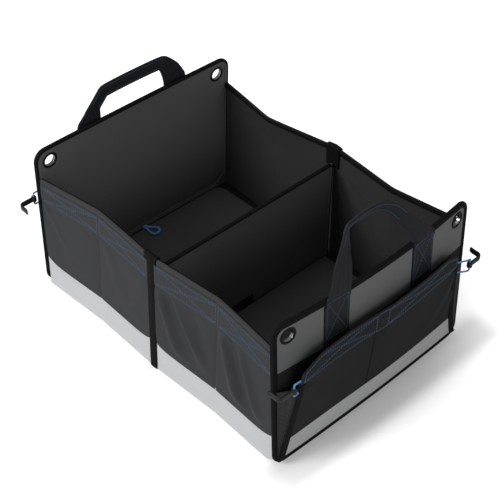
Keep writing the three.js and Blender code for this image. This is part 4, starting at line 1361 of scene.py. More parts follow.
@dataclass
class SideWall(Assembly):
    """Cloth side wall: lining, outer cloth with its hems, light band, tape, binding and stitching."""

    side: Side
    hem: float = 40 * MM
    tape_width: float = 9 * MM
    strap_width: float = 17 * MM
    row_gap: float = 2.4 * MM
    deepest: float = 2.8 * MM

    def folds(self, end: End) -> list[Fold]:
        """Soft folds of the outer cloth in one compartment, by the pull of its corners."""
        crease = self.form.compartment_middle
        m = MM
        if end is End.FRONT:
            return [
                Fold((16 * m, 192 * m), (66 * m, 62 * m), 7.4 * m, 6 * m, 2.0),
                Fold((32 * m, 190 * m), (98 * m, 66 * m), -4.8 * m, 7 * m, 2.2),
                Fold((50 * m, 192 * m), (118 * m, 84 * m), 6.0 * m, 6 * m, 2.0),
                Fold((86 * m, 190 * m), (128 * m, 92 * m), -3.8 * m, 8 * m, 1.8),
                Fold((crease + 12 * m, 192 * m), (crease + 60 * m, 62 * m), 8.2 * m, 6 * m, 2.2),
                Fold((crease + 34 * m, 190 * m), (crease + 88 * m, 60 * m), -5.6 * m, 7 * m, 2.0),
                Fold((crease + 58 * m, 192 * m), (crease + 108 * m, 66 * m), 6.8 * m, 6 * m, 2.0),
            ]
        return [
            Fold((-272 * m, 186 * m), (-232 * m, 120 * m), 2.4 * m, 6 * m, 1.6),
            Fold((-262 * m, 184 * m), (-236 * m, 70 * m), -2.0 * m, 9 * m, 1.8),
            Fold((-crease - 20 * m, 184 * m), (-crease - 84 * m, 76 * m), 1.4 * m, 12 * m, 2.0),
            Fold((-crease + 22 * m, 184 * m), (-crease + 74 * m, 80 * m), 1.8 * m, 11 * m, 2.2),
            Fold((-18 * m, 186 * m), (-58 * m, 74 * m), 2.0 * m, 9 * m, 2.2),
        ]

    def relief(self, x: Array, z: Array) -> Array:
        """Height of all the folds at a place, let down to nothing at the seams."""
        total = np.zeros(np.broadcast(x, z).shape)
        for end in End:
            for fold in self.folds(end):
                total = total + fold.relief(x, z)
        from_end = self.form.length / 2 - 8 * MM - np.abs(x)
        held = smooth((z - self.form.band_height) / (26 * MM))
        held = held * smooth((self.hem_low() - z + 4 * MM) / (14 * MM))
        sides = smooth((np.abs(x) - 9 * MM) / (14 * MM)) * smooth(from_end / (12 * MM))
        seam = smooth((np.abs(np.abs(x) - self.form.compartment_middle) - 1 * MM) / (9 * MM))
        total = total * held * sides * seam
        return np.where(total < 0, -self.deepest * np.tanh(-total / self.deepest), total)

    def hem_low(self) -> float:
        """Lower edge of the hem."""
        return self.form.wall_height - self.tape_width - self.hem

    def foot(self, x: Array, rise: float, reach: float) -> Array:
        """Lower edge of a cloth of the wall, which rises beside the front panel's rounded corner.

        Args:
            x: Place along the box.
            rise: How far the edge has risen at the panel.
            reach: Distance from the panel in which most of the rise dies away.

        Returns:
            Height of the edge, as a bell over the distance from the panel.
        """
        from_end = np.maximum(self.form.length / 2 - 5 * MM - x, 0.0)
        return 0.3 * MM + rise * bell(from_end, reach)

    def seam_height(self, x: Array) -> Array:
        """Line between the dark cloth and the light band, which rises at the ends of each compartment."""
        from_post = np.abs(x) - 8 * MM
        from_end = self.form.length / 2 - 6 * MM - np.abs(x)
        end_rise = 13 * MM * np.exp(-np.maximum(from_end, 0) / (14 * MM))
        post_rise = 9 * MM * np.exp(-np.maximum(from_post, 0) / (12 * MM))
        return self.form.band_height - 4 * MM + end_rise + post_rise

    def outer(self, x: Array, z: Array, extra: Array | float = 0.0) -> Array:
        """Outside of the dark outer cloth, with its folds, its hem and the sewn-in crease."""
        base = self.form.wall_thickness / 2 + self.form.seat_gap + 1.4 * MM
        crease = np.abs(np.abs(x) - self.form.compartment_middle)
        groove = 1.1 * MM * bell(crease, 2.2 * MM)
        puff = 1.0 * MM * (1.0 - bell(crease, 10 * MM))
        hem = 0.9 * MM * smooth((z - self.hem_low()) / (1.2 * MM))
        body = smooth((z - self.form.band_height) / (30 * MM)) * smooth((self.hem_low() - z) / (18 * MM))
        off = base + hem + puff * body - groove * (1 - hem / MM) + self.relief(x, z) + extra
        return self.form.wall(self.side, x, z, off)

    def lining(self) -> bpy.types.Object:
        """Inner face of the wall, with softer folds than outside."""
        t = np.linspace(0.0, 1.0, 201)[None]
        v = np.linspace(0.0, 1.0, 60)[:, None]
        rough_x = mix(self.form.wall_stop(End.REAR, v * 0.24), self.form.wall_stop(End.FRONT, v * 0.24), t)
        z = mix(self.foot(rough_x, 12 * MM, 10 * MM), self.form.wall_top(rough_x), v)
        x = mix(self.form.wall_stop(End.REAR, z), self.form.wall_stop(End.FRONT, z), t)
        half = self.form.wall_thickness / 2
        from_crease = np.abs(np.abs(x) - self.form.compartment_middle)
        seam = 0.8 * MM * bell(from_crease, 1.6 * MM)
        slack = 0.5 * self.relief(x, z) + self.inner_slack(x, z) - seam
        inner = self.form.wall(self.side, x, z, -half + np.clip(slack, -0.8 * MM, 2.0 * MM))
        outer = self.form.wall(self.side, x, z, half - 0.2 * MM)
        return self.piece(
            skin(outer, inner), f"{self.side.word}_wall_lining",
            ["lining_cloth"], "lining_cloth", f"{self.side.word}_wall")

    def inner_slack(self, x: Array, z: Array) -> Array:
        """Small puckers of the lining beside the divider's foot, as a sine that dies away."""
        beside = bell(np.abs(x) - 26 * MM, 18 * MM) * bell(z - 60 * MM, 46 * MM)
        return 1.2 * MM * np.sin(np.abs(x) * 310 + z * 120) * beside

    def span(self, end: End, z: Array) -> tuple[float, Array]:
        """X of the two ends of one compartment's outer cloth at a height."""
        return end.value * (self.strap_width / 2 - 2.5 * MM), self.form.wall_stop(end, z)

    def outer_cloth(self, end: End) -> bpy.types.Object:
        """Dark outer cloth of one compartment, from the seam above the band to the top binding."""
        t = np.linspace(0.0, 1.0, 116)[None]
        rough_x = mix(*self.span(end, np.array(0.1)), t)
        low = self.seam_height(rough_x) - 1.5 * MM
        high = self.form.wall_top(rough_x) - self.tape_width + 1 * MM
        v = np.linspace(0.0, 1.0, 84)[:, None]
        z = mix(low, high, v)
        x = mix(*self.span(end, z), t)
        front = self.outer(x, z)
        back = self.form.wall(self.side, x, z, self.form.wall_thickness / 2 + 0.1 * MM)
        name = f"{self.side.word}_{end.word}"
        return self.piece(
            skin(front, back), f"{name}_outer_cloth", ["outer_cloth"], "outer_cloth", f"{name}_pocket")

    def band(self, end: End) -> bpy.types.Object:
        """Light-grey cloth along the foot of one compartment, with its turned-in lower edge."""
        t = np.linspace(0.0, 1.0, 100)[None]
        v = np.linspace(0.0, 1.0, 26)[:, None]
        rough_x = mix(*self.span(end, np.array(0.03)), t)
        low = self.foot(rough_x, 12 * MM, 9 * MM)
        z = mix(low, self.seam_height(rough_x) + 3 * MM, v)
        x = mix(*self.span(end, z), t)
        base = self.form.wall_thickness / 2 + self.form.seat_gap + 0.9 * MM
        crease = np.abs(np.abs(x) - self.form.compartment_middle)
        seam = 0.5 * MM * bell(crease, 2.4 * MM)
        wave = 0.6 * MM * np.sin(x * 61 + 0.8) * np.sin(v * math.pi)
        turned = 0.5 * MM * smooth((8 * MM - z + low) / (1.5 * MM))
        front = self.form.wall(self.side, x, z, base + wave * 0.5 + turned - seam)
        back = self.form.wall(self.side, x, z, self.form.wall_thickness / 2 + 0.1 * MM)
        name = f"{self.side.word}_{end.word}_band"
        return self.piece(skin(front, back), f"{name}_cloth", ["band_cloth"], "band_cloth", name)

    def post_tape(self) -> bpy.types.Object:
        """Tape down the middle of the wall: a flat oval section carried down the wall."""
        z = np.linspace(self.form.wall_top(np.array(0.0)) - 3 * MM, 0.4 * MM, 120)
        angle = full_turn(18)
        half, thick = self.strap_width / 2, 1.7 * MM
        across = half * squared(np.cos(angle), 0.6)
        off = thick * squared(np.sin(angle), 0.6)
        pucker = 0.15 * MM * np.sin(2 * math.pi * z / (8 * MM))
        x = np.broadcast_to(across[None], (len(z), len(angle)))
        base = self.form.wall_thickness / 2 + 1.9 * MM
        up = np.broadcast_to(z[:, None], x.shape)
        parts = outward(sweep(self.form.wall(self.side, x, up, base + off[None] + pucker[:, None])))
        name = f"{self.side.word}_middle_strap"
        return self.piece(parts, f"{self.side.word}_post_tape", ["binding_tape"], "binding_tape", name)

    def top_binding(self) -> bpy.types.Object:
        """Tape folded over the wall's top edge, along its whole curve; its top and inner half take a lighter
        copy of the binding tape as a painted highlight.
        """
        lift = self.form.tape_reach
        start = self.form.wall_stop(End.REAR, np.array(self.form.wall_height))
        stop = self.form.wall_stop(End.FRONT, np.array(self.form.wall_height))
        x = np.linspace(float(start), float(stop), 420)
        z = self.form.wall_top(x) + lift
        route = self.form.wall(self.side, x, z)
        below = unit(self.form.wall(self.side, x, z - 4 * MM) - route)
        along = tangents(route)
        normal = unit(np.cross(along, below))
        tape = FoldedTape(width=self.tape_width + 1 * MM, half=self.form.wall_thickness / 2 + lift + 0.8 * MM)
        parts = tape.along(route, below, normal)
        _, off = tape.columns(parts)
        # Painted highlight: the top and inner half of the tape take the lighter copy of the binding tape, and
        # the outer half takes the dark tape.
        parts.finishes = (off * self.side.value < 0.3 * MM).astype(int).tolist()
        looks, name = ["wall_tape", "binding_tape"], f"{self.side.word}_top_binding"
        return self.piece(parts, f"{self.side.word}_top_tape", looks, "binding_tape", name)

    def stitches(self) -> bpy.types.Object:
        """Rows along the hem, a long cross in each half compartment, and tacks at creases and ends."""
        rows = Stitching(f"{self.side.word}_wall_stitching", "shell")
        place = SurfacePlace(self.outer, (0.0, self.side.value, 0.0))
        for end in End:
            self.hem_rows(rows, place, end)
        return rows.make(self.finishes)

    def hem_rows(self, rows: Stitching, place: SurfacePlace, end: End) -> None:
        """Adds one compartment's rows.

        Args:
            rows: Stitching to add to.
            place: The outer cloth's surface.
            end: Which compartment.
        """
        crease = self.form.compartment_middle
        stop = self.form.length / 2 - 14 * MM
        for near, far in ((13 * MM, crease - 5 * MM), (crease + 5 * MM, stop)):
            tops = [
                float(self.form.wall_top(np.array(end.value * spot))) - self.tape_width - 3 * MM
                for spot in (near, far)
            ]
            lows = [self.hem_low() + 2.5 * MM, self.hem_low() + 2.5 * MM]
            a, b = end.value * near, end.value * far
            for drop in (0.0, self.row_gap):
                rows.on_surface(place, [(a, tops[0] - drop), (b, tops[1] - drop)])
                rows.on_surface(place, [(a, lows[0] + drop), (b, lows[1] + drop)])
                rows.on_surface(place, [(a, tops[0] - drop), (b, lows[1] + self.row_gap - drop)])
                rows.on_surface(place, [(a, lows[0] + drop), (b, tops[1] - self.row_gap + drop)])
        high = float(self.form.wall_top(np.array(end.value * crease))) - self.tape_width - 1 * MM
        for shift in (-3.2 * MM, 3.2 * MM):
            x = end.value * (crease + shift)
            for lean in (-0.4 * MM, 0.4 * MM):
                rows.on_surface(place, [(x + lean, self.hem_low() - 2 * MM), (x + lean, high)], 5 * MM)
        for x in (end.value * 11.5 * MM, end.value * (stop + 3 * MM)):
            rows.on_surface(place, [(x, self.hem_low() + 2 * MM), (x, high)])

    def build(self) -> None:
        """Makes the whole wall."""
        self.lining()
        for end in End:
            self.outer_cloth(end)
            self.band(end)
        self.post_tape()
        self.top_binding()
        self.stitches()


@dataclass
class EndPocket(Assembly):
    """Pocket on an end panel: flared dark front, light foot, gussets and stitched hem."""

    end: End
    height: float = 222 * MM
    flare: float = 23 * MM
    foot: float = 10.3 * MM
    foot_half: float = 212 * MM
    left_hem_half: float = 185 * MM
    right_hem_half: float = 177 * MM
    left_sag: float = 5 * MM
    right_sag: float = 12 * MM
    droop: float = 15 * MM
    hem: float = 42 * MM
    seam_y: float = -28 * MM
    tack_stop: float = -3 * MM
    tape_width: float = 12 * MM
    row_gap: float = 2.4 * MM
    gusset_low: float = 10 * MM
    gusset_high: float = 162 * MM
    edge_rows: int = 1

    def rise(self, z: Array) -> Array:
        """How far up the pocket a height is, as a power just under one."""
        return np.maximum(0.0, (z - self.foot) / (self.height - self.foot)) ** 0.9

    def half(self, side: Side, z: Array) -> Array:
        """Half of the pocket's width at a height: the right edge runs in further, and sooner."""
        if side is Side.LEFT:
            return mix(self.foot_half, self.left_hem_half, self.rise(z))
        return mix(self.foot_half, self.right_hem_half, np.minimum(self.rise(z), 1.0) ** 0.7)

    def across(self, share: Array, z: Array) -> Array:
        """Y of a share of the half width, from -1 at the left edge to 1 at the right edge."""
        return np.where(share < 0, share * self.half(Side.LEFT, z), share * self.half(Side.RIGHT, z))

    def top(self, share: Array) -> Array:
        """Height of the hem's edge, which droops towards both ends."""
        return self.height - self.droop * smooth((np.abs(share) - 0.78) / 0.24)

    def sag(self, y: Array) -> Array:
        """How far the hem hangs back: half a sine on the left, a parabola on the right."""
        left = self.left_sag * np.sin(math.pi * np.clip(-y / self.left_hem_half, 0.0, 1.0))
        right = self.right_sag * (np.clip(y, 0.0, None) / self.right_hem_half) ** 2
        return left + right

    def folds(self) -> list[Fold]:
        """Soft folds of the front cloth, from the hem's ends and the middle seam."""
        m = MM
        return [
            Fold((-182 * m, 176 * m), (-120 * m, 84 * m), 2.0 * m, 10 * m, 2.0),
            Fold((-150 * m, 178 * m), (-76 * m, 96 * m), -1.6 * m, 12 * m, 1.8),
            Fold((self.seam_y + 8 * m, 172 * m), (30 * m, 84 * m), 1.8 * m, 9 * m, 2.0),
            Fold((178 * m, 176 * m), (110 * m, 80 * m), 2.0 * m, 10 * m, 2.2),
            Fold((186 * m, 130 * m), (150 * m, 66 * m), 1.6 * m, 9 * m, 1.8),
        ]

    def base(self, y: Array, z: Array) -> Array:
        """Reach of the pocket's back face: from the panel at the foot to a straight hem in front of it."""
        seat = self.form.panel_thickness / 2 + self.form.tape_reach + self.form.seat_gap
        foot = self.form.end_reach(self.end, y, z) + seat
        hem = self.form.end_reach(self.end, np.array(0.0), np.array(self.height)) + self.flare
        return mix(foot, hem - self.sag(y), self.rise(z))

    def front(self, y: Array, z: Array, extra: Array | float = 0.0) -> Array:
        """Outside of the dark front cloth, with folds, seam, hem and a rolled top edge."""
        total = np.zeros(np.broadcast(y, z).shape)
        for fold in self.folds():
            total = total + fold.relief(y, z)
        below_hem = self.height - self.hem - z
        held = smooth((z - self.form.band_height) / (24 * MM)) * smooth(below_hem / (14 * MM))
        fade = smooth(below_hem / (3 * MM)) * smooth((z - self.form.band_height - 1 * MM) / (14 * MM))
        seam = 2.4 * MM * bell(y - self.seam_y, 1.5 * MM) * fade
        hem = 0.9 * MM * smooth((z - (self.height - self.hem)) / (1.2 * MM))
        rise = np.clip((z - self.form.band_height) / (self.height - self.form.band_height), 0, 1)
        belly = 3.0 * MM * np.sin(rise * math.pi)
        half = np.where(y < 0, self.half(Side.LEFT, z), self.half(Side.RIGHT, z))
        side = smooth((half - np.abs(y)) / (30 * MM))
        reach = self.base(y, z) + 1.4 * MM + total * held + hem - seam + belly * side * 0.5 + extra
        return np.stack(np.broadcast_arrays(self.end.value * reach, y, z), axis=-1)

    def cloth(self) -> bpy.types.Object:
        """Dark front cloth with its rolled hem, in a darker copy of the outer cloth as painted shade."""
        v = np.linspace(0.0, 1.0, 96)[:, None]
        mean_half = 0.5 * (self.foot_half + self.left_hem_half)
        beside_seam = np.arange(self.seam_y - 5 * MM, self.seam_y + 6 * MM, 0.6 * MM) / mean_half
        share = np.unique(np.concatenate([np.linspace(-1.0, 1.0, 170), beside_seam]))[None]
        top = self.top(share)
        z = mix(self.form.band_height - 2 * MM, top, v)
        y = self.across(share, z)
        roll = smooth((z - top + 3 * MM) / (3 * MM))
        outer = self.front(y, z, -0.8 * MM * roll)
        thick = mix(1.4 * MM, 2.3 * MM, smooth((z - (self.height - self.hem)) / (1.2 * MM)))
        inner = outer.copy()
        inner[..., 0] -= self.end.value * (thick - 1.2 * MM * roll)
        return self.piece(
            skin(outer, inner), f"{self.end.word}_pocket_cloth",
            ["pocket_cloth"], "outer_cloth", f"{self.end.word}_end_pocket")

    def band(self) -> bpy.types.Object:
        """Light-grey foot of the pocket, from the panel's binding to the dark cloth, in a darker copy of the
        band cloth as painted shade.
        """
        v = np.linspace(0.0, 1.0, 28)[:, None]
        z = np.broadcast_to(mix(self.foot + 2.2 * MM, self.form.band_height + 2 * MM, v), (28, 150))
        y = self.across(np.linspace(-1.0, 1.0, 150)[None], z) * 0.992
        wave = 0.5 * MM * np.sin(y * 43 + 0.5) * np.sin(v * math.pi)
        reach = self.base(y, z) + 0.9 * MM + wave
        outer = np.stack([self.end.value * reach, y, z], axis=-1)
        inner = outer - np.array([self.end.value * 1.1 * MM, 0.0, 0.0])
        parts = skin(outer, inner)
        # The lowest row of the band takes the black binding tape's finish, which widens the dark line at its
        # foot.
        edge = self.edge_rows * (outer.shape[1] - 1)
        parts.finishes[:edge] = [1] * edge
        looks, name = ["pocket_band", "binding_tape"], f"{self.end.word}_end_band"
        return self.piece(parts, f"{self.end.word}_band_cloth", looks, "band_cloth", name)

    def side_tape(self) -> None:
        """Tape folded over each slanted side edge of the pocket, up to the hem."""
        for side in Side:
            z = np.linspace(self.foot, self.height - self.hem, 120)
            y = side.value * self.half(side, z)
            route = np.stack([self.end.value * (self.base(y, z) + 0.9 * MM), y, z], axis=-1)
            inner = side.value * (self.half(side, z) - 4 * MM)
            beside = np.stack([self.end.value * (self.base(inner, z) + 0.9 * MM), inner, z], axis=-1)
            inward = unit(beside - route)
            normal = unit(np.cross(tangents(route), inward))
            tape = FoldedTape(width=self.tape_width, half=2.3 * MM, lip=0.8 * MM, pucker=0.1 * MM)
            name = f"{self.end.word}_{side.word}_pocket_tape"
            self.piece(tape.along(route, inward, normal), name, ["binding_tape"], "binding_tape")

    def gusset(self, side: Side) -> bpy.types.Object:
        """Stretch gusset with slanted ribs, folded in between the panel and the pocket."""
        u = np.linspace(0.0, 1.0, 34)[None]
        z = np.broadcast_to(np.linspace(self.gusset_low, self.gusset_high, 190)[:, None], (190, 34))
        y_panel = self.foot_half - 1 * MM
        seat = self.form.panel_thickness / 2 + self.form.tape_reach + self.form.seat_gap
        x_panel = self.form.end_reach(self.end, np.array(y_panel), z) + seat
        y_pocket = self.half(side, z) - 3 * MM
        x_pocket = self.base(side.value * y_pocket, z) - 0.3 * MM
        rise = (z - self.gusset_low) / (self.gusset_high - self.gusset_low)
        fold = 5 * MM * rise * (1.0 - np.abs(2 * u - 1)) ** 0.8
        rib = 1.1 * MM * np.sin((z + u * 16 * MM) * 2 * math.pi / (8.5 * MM)) * np.sin(u * math.pi) ** 0.5
        top = smooth((z - self.gusset_high + 5 * MM) / (1.2 * MM)) * 0.6 * MM
        x = self.end.value * mix(x_panel, x_pocket, u)
        middle = mix(y_panel, y_pocket, u) - fold
        outer = np.stack([x, side.value * (middle + 0.5 * MM + rib + top), z], axis=-1)
        inner = np.stack([x, side.value * (middle - 0.5 * MM + rib - top), z], axis=-1)
        name = f"{self.end.word}_{side.word}_gusset"
        return self.piece(skin(outer, inner), f"{name}_cloth", ["mesh_cloth"], "mesh_cloth", name)

    def stitches(self) -> bpy.types.Object:
        """Rows along the hem, a long cross in each half, the boxed tack at the seam and rows at the ends."""
        rows = Stitching(f"{self.end.word}_pocket_stitching", "shell")
        place = SurfacePlace(self.front, (self.end.value, 0.0, 0.0))
        top, low = self.height - 4 * MM, self.height - self.hem + 3 * MM
        share = np.linspace(0.0, 0.965, 40)
        for side in Side:
            near = self.seam_y - 1 * MM if side is Side.LEFT else self.tack_stop + 2 * MM
            edge = self.top(share) - 4 * MM
            y = side.value * share * self.half(side, edge)
            beyond = side.value * (y - near) > 0
            far_low = float(side.value * 0.965 * self.half(side, np.array(low)))
            upper = [(near, top), *zip(y[beyond].tolist(), edge[beyond].tolist())]
            far_top = upper[-8]
            for drop in (0.0, self.row_gap):
                rows.on_surface(place, [(a, b - drop) for a, b in upper])
                rows.on_surface(place, [(near, low + drop), (far_low, low + drop)])
                rows.on_surface(place, [(near, top - drop), (far_low, low + self.row_gap - drop)])
                rows.on_surface(place, [(near, low + drop), (far_top[0], far_top[1] - self.row_gap + drop)])
            for inset in (0.0, 1.4 * MM):
                a, b = upper[-1][0] - side.value * inset, far_low - side.value * inset
                rows.on_surface(place, [(a, upper[-1][1]), (b, low - 2 * MM)], 3 * MM)
        left, right = self.seam_y, self.tack_stop
        for shift in (0.0, 0.8 * MM):
            rows.on_surface(place, [
                (left + shift, low - shift), (left + shift, top + shift), (right + shift, top + shift),
                (right + shift, low - shift), (left + shift, low - shift),
            ], 5 * MM)
        return rows.make(self.finishes)

    def build(self) -> None:
        """Makes the whole pocket."""
        self.cloth()
        self.band()
        self.side_tape()
        for side in Side:
            self.gusset(side)
        self.stitches()


@dataclass
class CordHooks(Assembly):
    """Elastic loops at the pocket's hem ends, each with a moulded hook."""

    pocket: EndPocket
    height: float = 178 * MM
    span: float = 24 * MM
    cord: float = 3 * MM
    hook_width: float = 10 * MM
    hook_thickness: float = 3.6 * MM
    arm: float = 31 * MM
    back: float = 25 * MM
    bend: float = 7 * MM
    eye_inner: float = 2.0 * MM
    eye_wall: float = 2.7 * MM

    def eye(self, side: Side) -> Array:
        """Middle of the hook's eye, where the frame has it: the part's ring is round, and ends the hook."""
        low, high = (np.array(corner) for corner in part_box(f"{self.pocket.end.word}_{side.word}_hook"))
        ring = self.eye_inner + self.eye_wall
        x = low[0] if self.pocket.end is End.REAR else high[0]
        y = high[1] if side is Side.LEFT else low[1]
        return np.array([x - self.pocket.end.value * ring, y + side.value * ring, self.height])

    def elastic(self, side: Side) -> bpy.types.Object:
        """Loop of elastic cord that comes out of the hem's end and goes back in below."""
        eye = self.eye(side)
        half = self.span / 2

        def root(height: float) -> list[float]:
            """Where a strand comes out of the pocket's edge."""
            z = np.array(self.height + height)
            y = side.value * (self.pocket.half(side, z) - 3 * MM)
            x = self.pocket.end.value * (self.pocket.base(y, z) + 0.7 * MM)
            return [float(x), float(y), float(z)]

        corner = 5 * MM
        route = np.array([
            root(half), [eye[0], eye[1] - side.value * corner, self.height + half],
            [eye[0], eye[1], self.height + half], [eye[0], eye[1], self.height + half - corner],
            [eye[0], eye[1], self.height - half + corner], [eye[0], eye[1], self.height - half],
            [eye[0], eye[1] - side.value * corner, self.height - half], root(-half),
        ])
        parts = outward(sweep(tube(rounded_route(route, 80), self.cord / 2, 12)))
        name = f"{self.pocket.end.word}_{side.word}_elastic"
        return self.piece(parts, f"{name}_cord", ["blue_cord"], "blue_cord", name)

    def outline(self) -> Array:
        """Middle line of the hook's strip, in its own X and Y: the arm, the bend and the return."""
        quarter = np.linspace(0.0, math.pi / 2, 14)
        turn = np.stack([
            -self.bend + self.bend * np.cos(quarter),
            self.arm - self.bend - self.hook_thickness / 2 + self.bend * np.sin(quarter),
        ], axis=-1)
        start = np.array([[0.0, self.eye_inner + 1.2 * MM]])
        tip = np.array([
            [-self.back * 0.72, self.arm - self.hook_thickness / 2], [-self.back, self.arm + 0.6 * MM],
        ])
        return rounded_route(np.concatenate([start, turn, tip]), 60, passes=2)

    def hook(self, side: Side) -> bpy.types.Object:
        """Hook: a strip with rounded edges that follows its outline, and a ring for the cord."""
        end = self.pocket.end
        eye = self.eye(side)
        line = self.outline()
        step = unit(np.gradient(line, axis=0))
        across = np.stack([step[:, 1], -step[:, 0]], axis=-1)
        angle = full_turn(20)
        power = 0.45
        thick = 0.5 * self.hook_thickness * squared(np.cos(angle), power)
        wide = 0.5 * self.hook_width * squared(np.sin(angle), power)
        t = np.linspace(0.0, 1.0, len(line))
        taper = np.sqrt(np.clip(1.0 - np.clip((t - 0.9) / 0.1, 0, 1) ** 2, 0.02, 1.0))
        flat = line[:, None] + across[:, None] * (thick[None] * taper[:, None])[..., None]
        points = np.concatenate([flat, (wide[None] * taper[:, None])[..., None]], axis=-1)
        parts = outward(sweep(eye + points * [end.value, side.value, 1.0]))
        middle = self.eye_inner + self.eye_wall / 2
        turn = full_turn(32)
        ring = np.stack([np.cos(turn), np.sin(turn), np.zeros_like(turn)], axis=-1)
        section_r = middle + 0.5 * self.eye_wall * squared(np.cos(angle), power)
        collar = ring[:, None] * section_r[None, :, None]
        collar[..., 2] = wide
        parts.merge(outward(sweep(eye + collar * [end.value, side.value, 1.0], closed=True)))
        name = f"{end.word}_{side.word}_hook"
        return self.piece(
            parts, f"{name}_moulding", ["hook_plastic"], "hook_plastic", name, body=f"{name}_body")

    def build(self) -> None:
        """Makes both hooks of this end."""
        for side in Side:
            self.elastic(side)
            self.hook(side)


@dataclass
class Divider(Assembly):
    """Board between the compartments, with its binding and the tabs that hang it on the walls."""

    thickness: float = 5 * MM
    floor: float = 2.8 * MM
    tape_width: float = 9 * MM
    tab_width: float = 28 * MM

    @property
    def half(self) -> float:
        """Half of the divider's width over its binding."""
        wall = self.form.wall_inset(Side.LEFT, np.array(0.0), np.array(self.form.wall_height))
        reach = self.form.half_wall - self.form.wall_thickness / 2 - float(wall)
        tab = self.form.wall_thickness / 2 + self.form.tape_reach + self.form.seat_gap
        return reach - tab - 1.6 * MM - self.form.seat_gap

    def board(self) -> bpy.types.Object:
        """Board with a faint slackness of its cloth."""
        v = np.linspace(0.0, 1.0, 50)[:, None]
        z = np.broadcast_to(mix(self.floor, self.form.divider_height - 2 * MM, v), (50, 90))
        y = np.broadcast_to(np.linspace(-1.0, 1.0, 90)[None] * (self.half - 2 * MM), z.shape)
        slack = 0.4 * MM * np.sin(y * 26 + 0.7) * np.sin(z * 31 + 0.3)
        front = np.stack([self.thickness / 2 + slack, y, z], axis=-1)
        back = np.stack([-self.thickness / 2 + slack, y, z], axis=-1)
        return self.piece(
            skin(front, back), "divider_board", ["divider_cloth"], "lining_cloth", "divider_panel")

    def binding(self) -> bpy.types.Object:
        """Tape up one side edge, across the top and down the other."""
        high, half, radius = self.form.divider_height, self.half, 9 * MM
        quarter = np.linspace(0.0, math.pi / 2, 9)
        cosine, sine = radius * np.cos(quarter), radius * np.sin(quarter)
        right = np.stack([half - radius + cosine, high - radius + sine], axis=-1)
        left = np.stack([-half + radius - sine, high - radius + cosine], axis=-1)
        flat = resample(np.concatenate([[[half, self.floor]], right, left, [[-half, self.floor]]]), 460)
        step = unit(np.gradient(flat, axis=0))
        inward = np.stack([np.zeros(len(flat)), -step[:, 1], step[:, 0]], axis=-1)
        route = np.stack([np.zeros(len(flat)), flat[:, 0], flat[:, 1]], axis=-1)
        normal = np.broadcast_to(np.array([1.0, 0.0, 0.0]), route.shape)
        tape = FoldedTape(width=self.tape_width, half=self.thickness / 2 + self.form.tape_reach, shown=4 * MM)
        parts = tape.along(route, inward, normal)
        from_edge, _ = tape.columns(parts)
        parts.finishes = (from_edge > tape.shown).astype(int).tolist()
        looks = ["binding_tape", "divider_cloth"]
        return self.piece(parts, "divider_tape", looks, "binding_tape", "divider_binding")

    def tab(self, side: Side) -> bpy.types.Object:
        """Webbing that hangs over the wall's top edge: up outside, round and 40 mm down inside."""
        top = float(self.form.wall_top(np.array(0.0))) + self.form.tape_reach
        reach = self.form.wall_thickness / 2 + self.form.tape_reach + 1.6 * MM
        half_turn = np.linspace(0.0, math.pi, 13)
        over = np.stack([reach * np.cos(half_turn), top - 1.2 * MM + reach * np.sin(half_turn)], axis=-1)
        line = np.concatenate([[[reach, top - 10 * MM]], over, [[-reach, top - 40 * MM]]])
        line = resample(line, 60)
        step = unit(np.gradient(line, axis=0))
        normal = np.stack([step[:, 1], -step[:, 0]], axis=-1)
        width = np.linspace(-0.5, 0.5, 15) * self.tab_width

        def face(offset: float) -> Array:
            """One face of the webbing."""
            flat = line + normal * offset
            x = np.broadcast_to(width[None], (len(flat), len(width)))
            z = np.broadcast_to(flat[:, None, 1], x.shape)
            off = np.broadcast_to(flat[:, None, 0], x.shape)
            return self.form.wall(side, x, z, off)

        return self.piece(
            skin(face(0.9 * MM), face(-0.9 * MM)), f"divider_{side.word}_webbing",
            ["tab_webbing"], "webbing", f"divider_{side.word}_tab")

    def hinge_strap(self, end: End) -> bpy.types.Object:
        """Webbing strap on the divider's foot that holds a board's edge."""
        low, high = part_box(f"{end.word}_hinge_strap")
        y = np.linspace(low[1], high[1], 20)[None]
        z = np.linspace(low[2], high[2], 12)[:, None]
        y, z = np.broadcast_arrays(y, z)
        near = np.full(y.shape, self.thickness / 2 + 0.2 * MM)
        far = near + 1.6 * MM * smooth((high[2] - z) / (1.5 * MM))
        front = np.stack([end.value * far, y, z], axis=-1)
        back = np.stack([end.value * near, y, z], axis=-1)
        return self.piece(
            skin(front, back), f"{end.word}_hinge_webbing",
            ["webbing"], "webbing", f"{end.word}_hinge_strap")

    def build(self) -> None:
        """Makes the divider with its tabs and straps."""
        self.board()
        self.binding()
        for side in Side:
            self.tab(side)
        for end in End:
            self.hinge_strap(end)


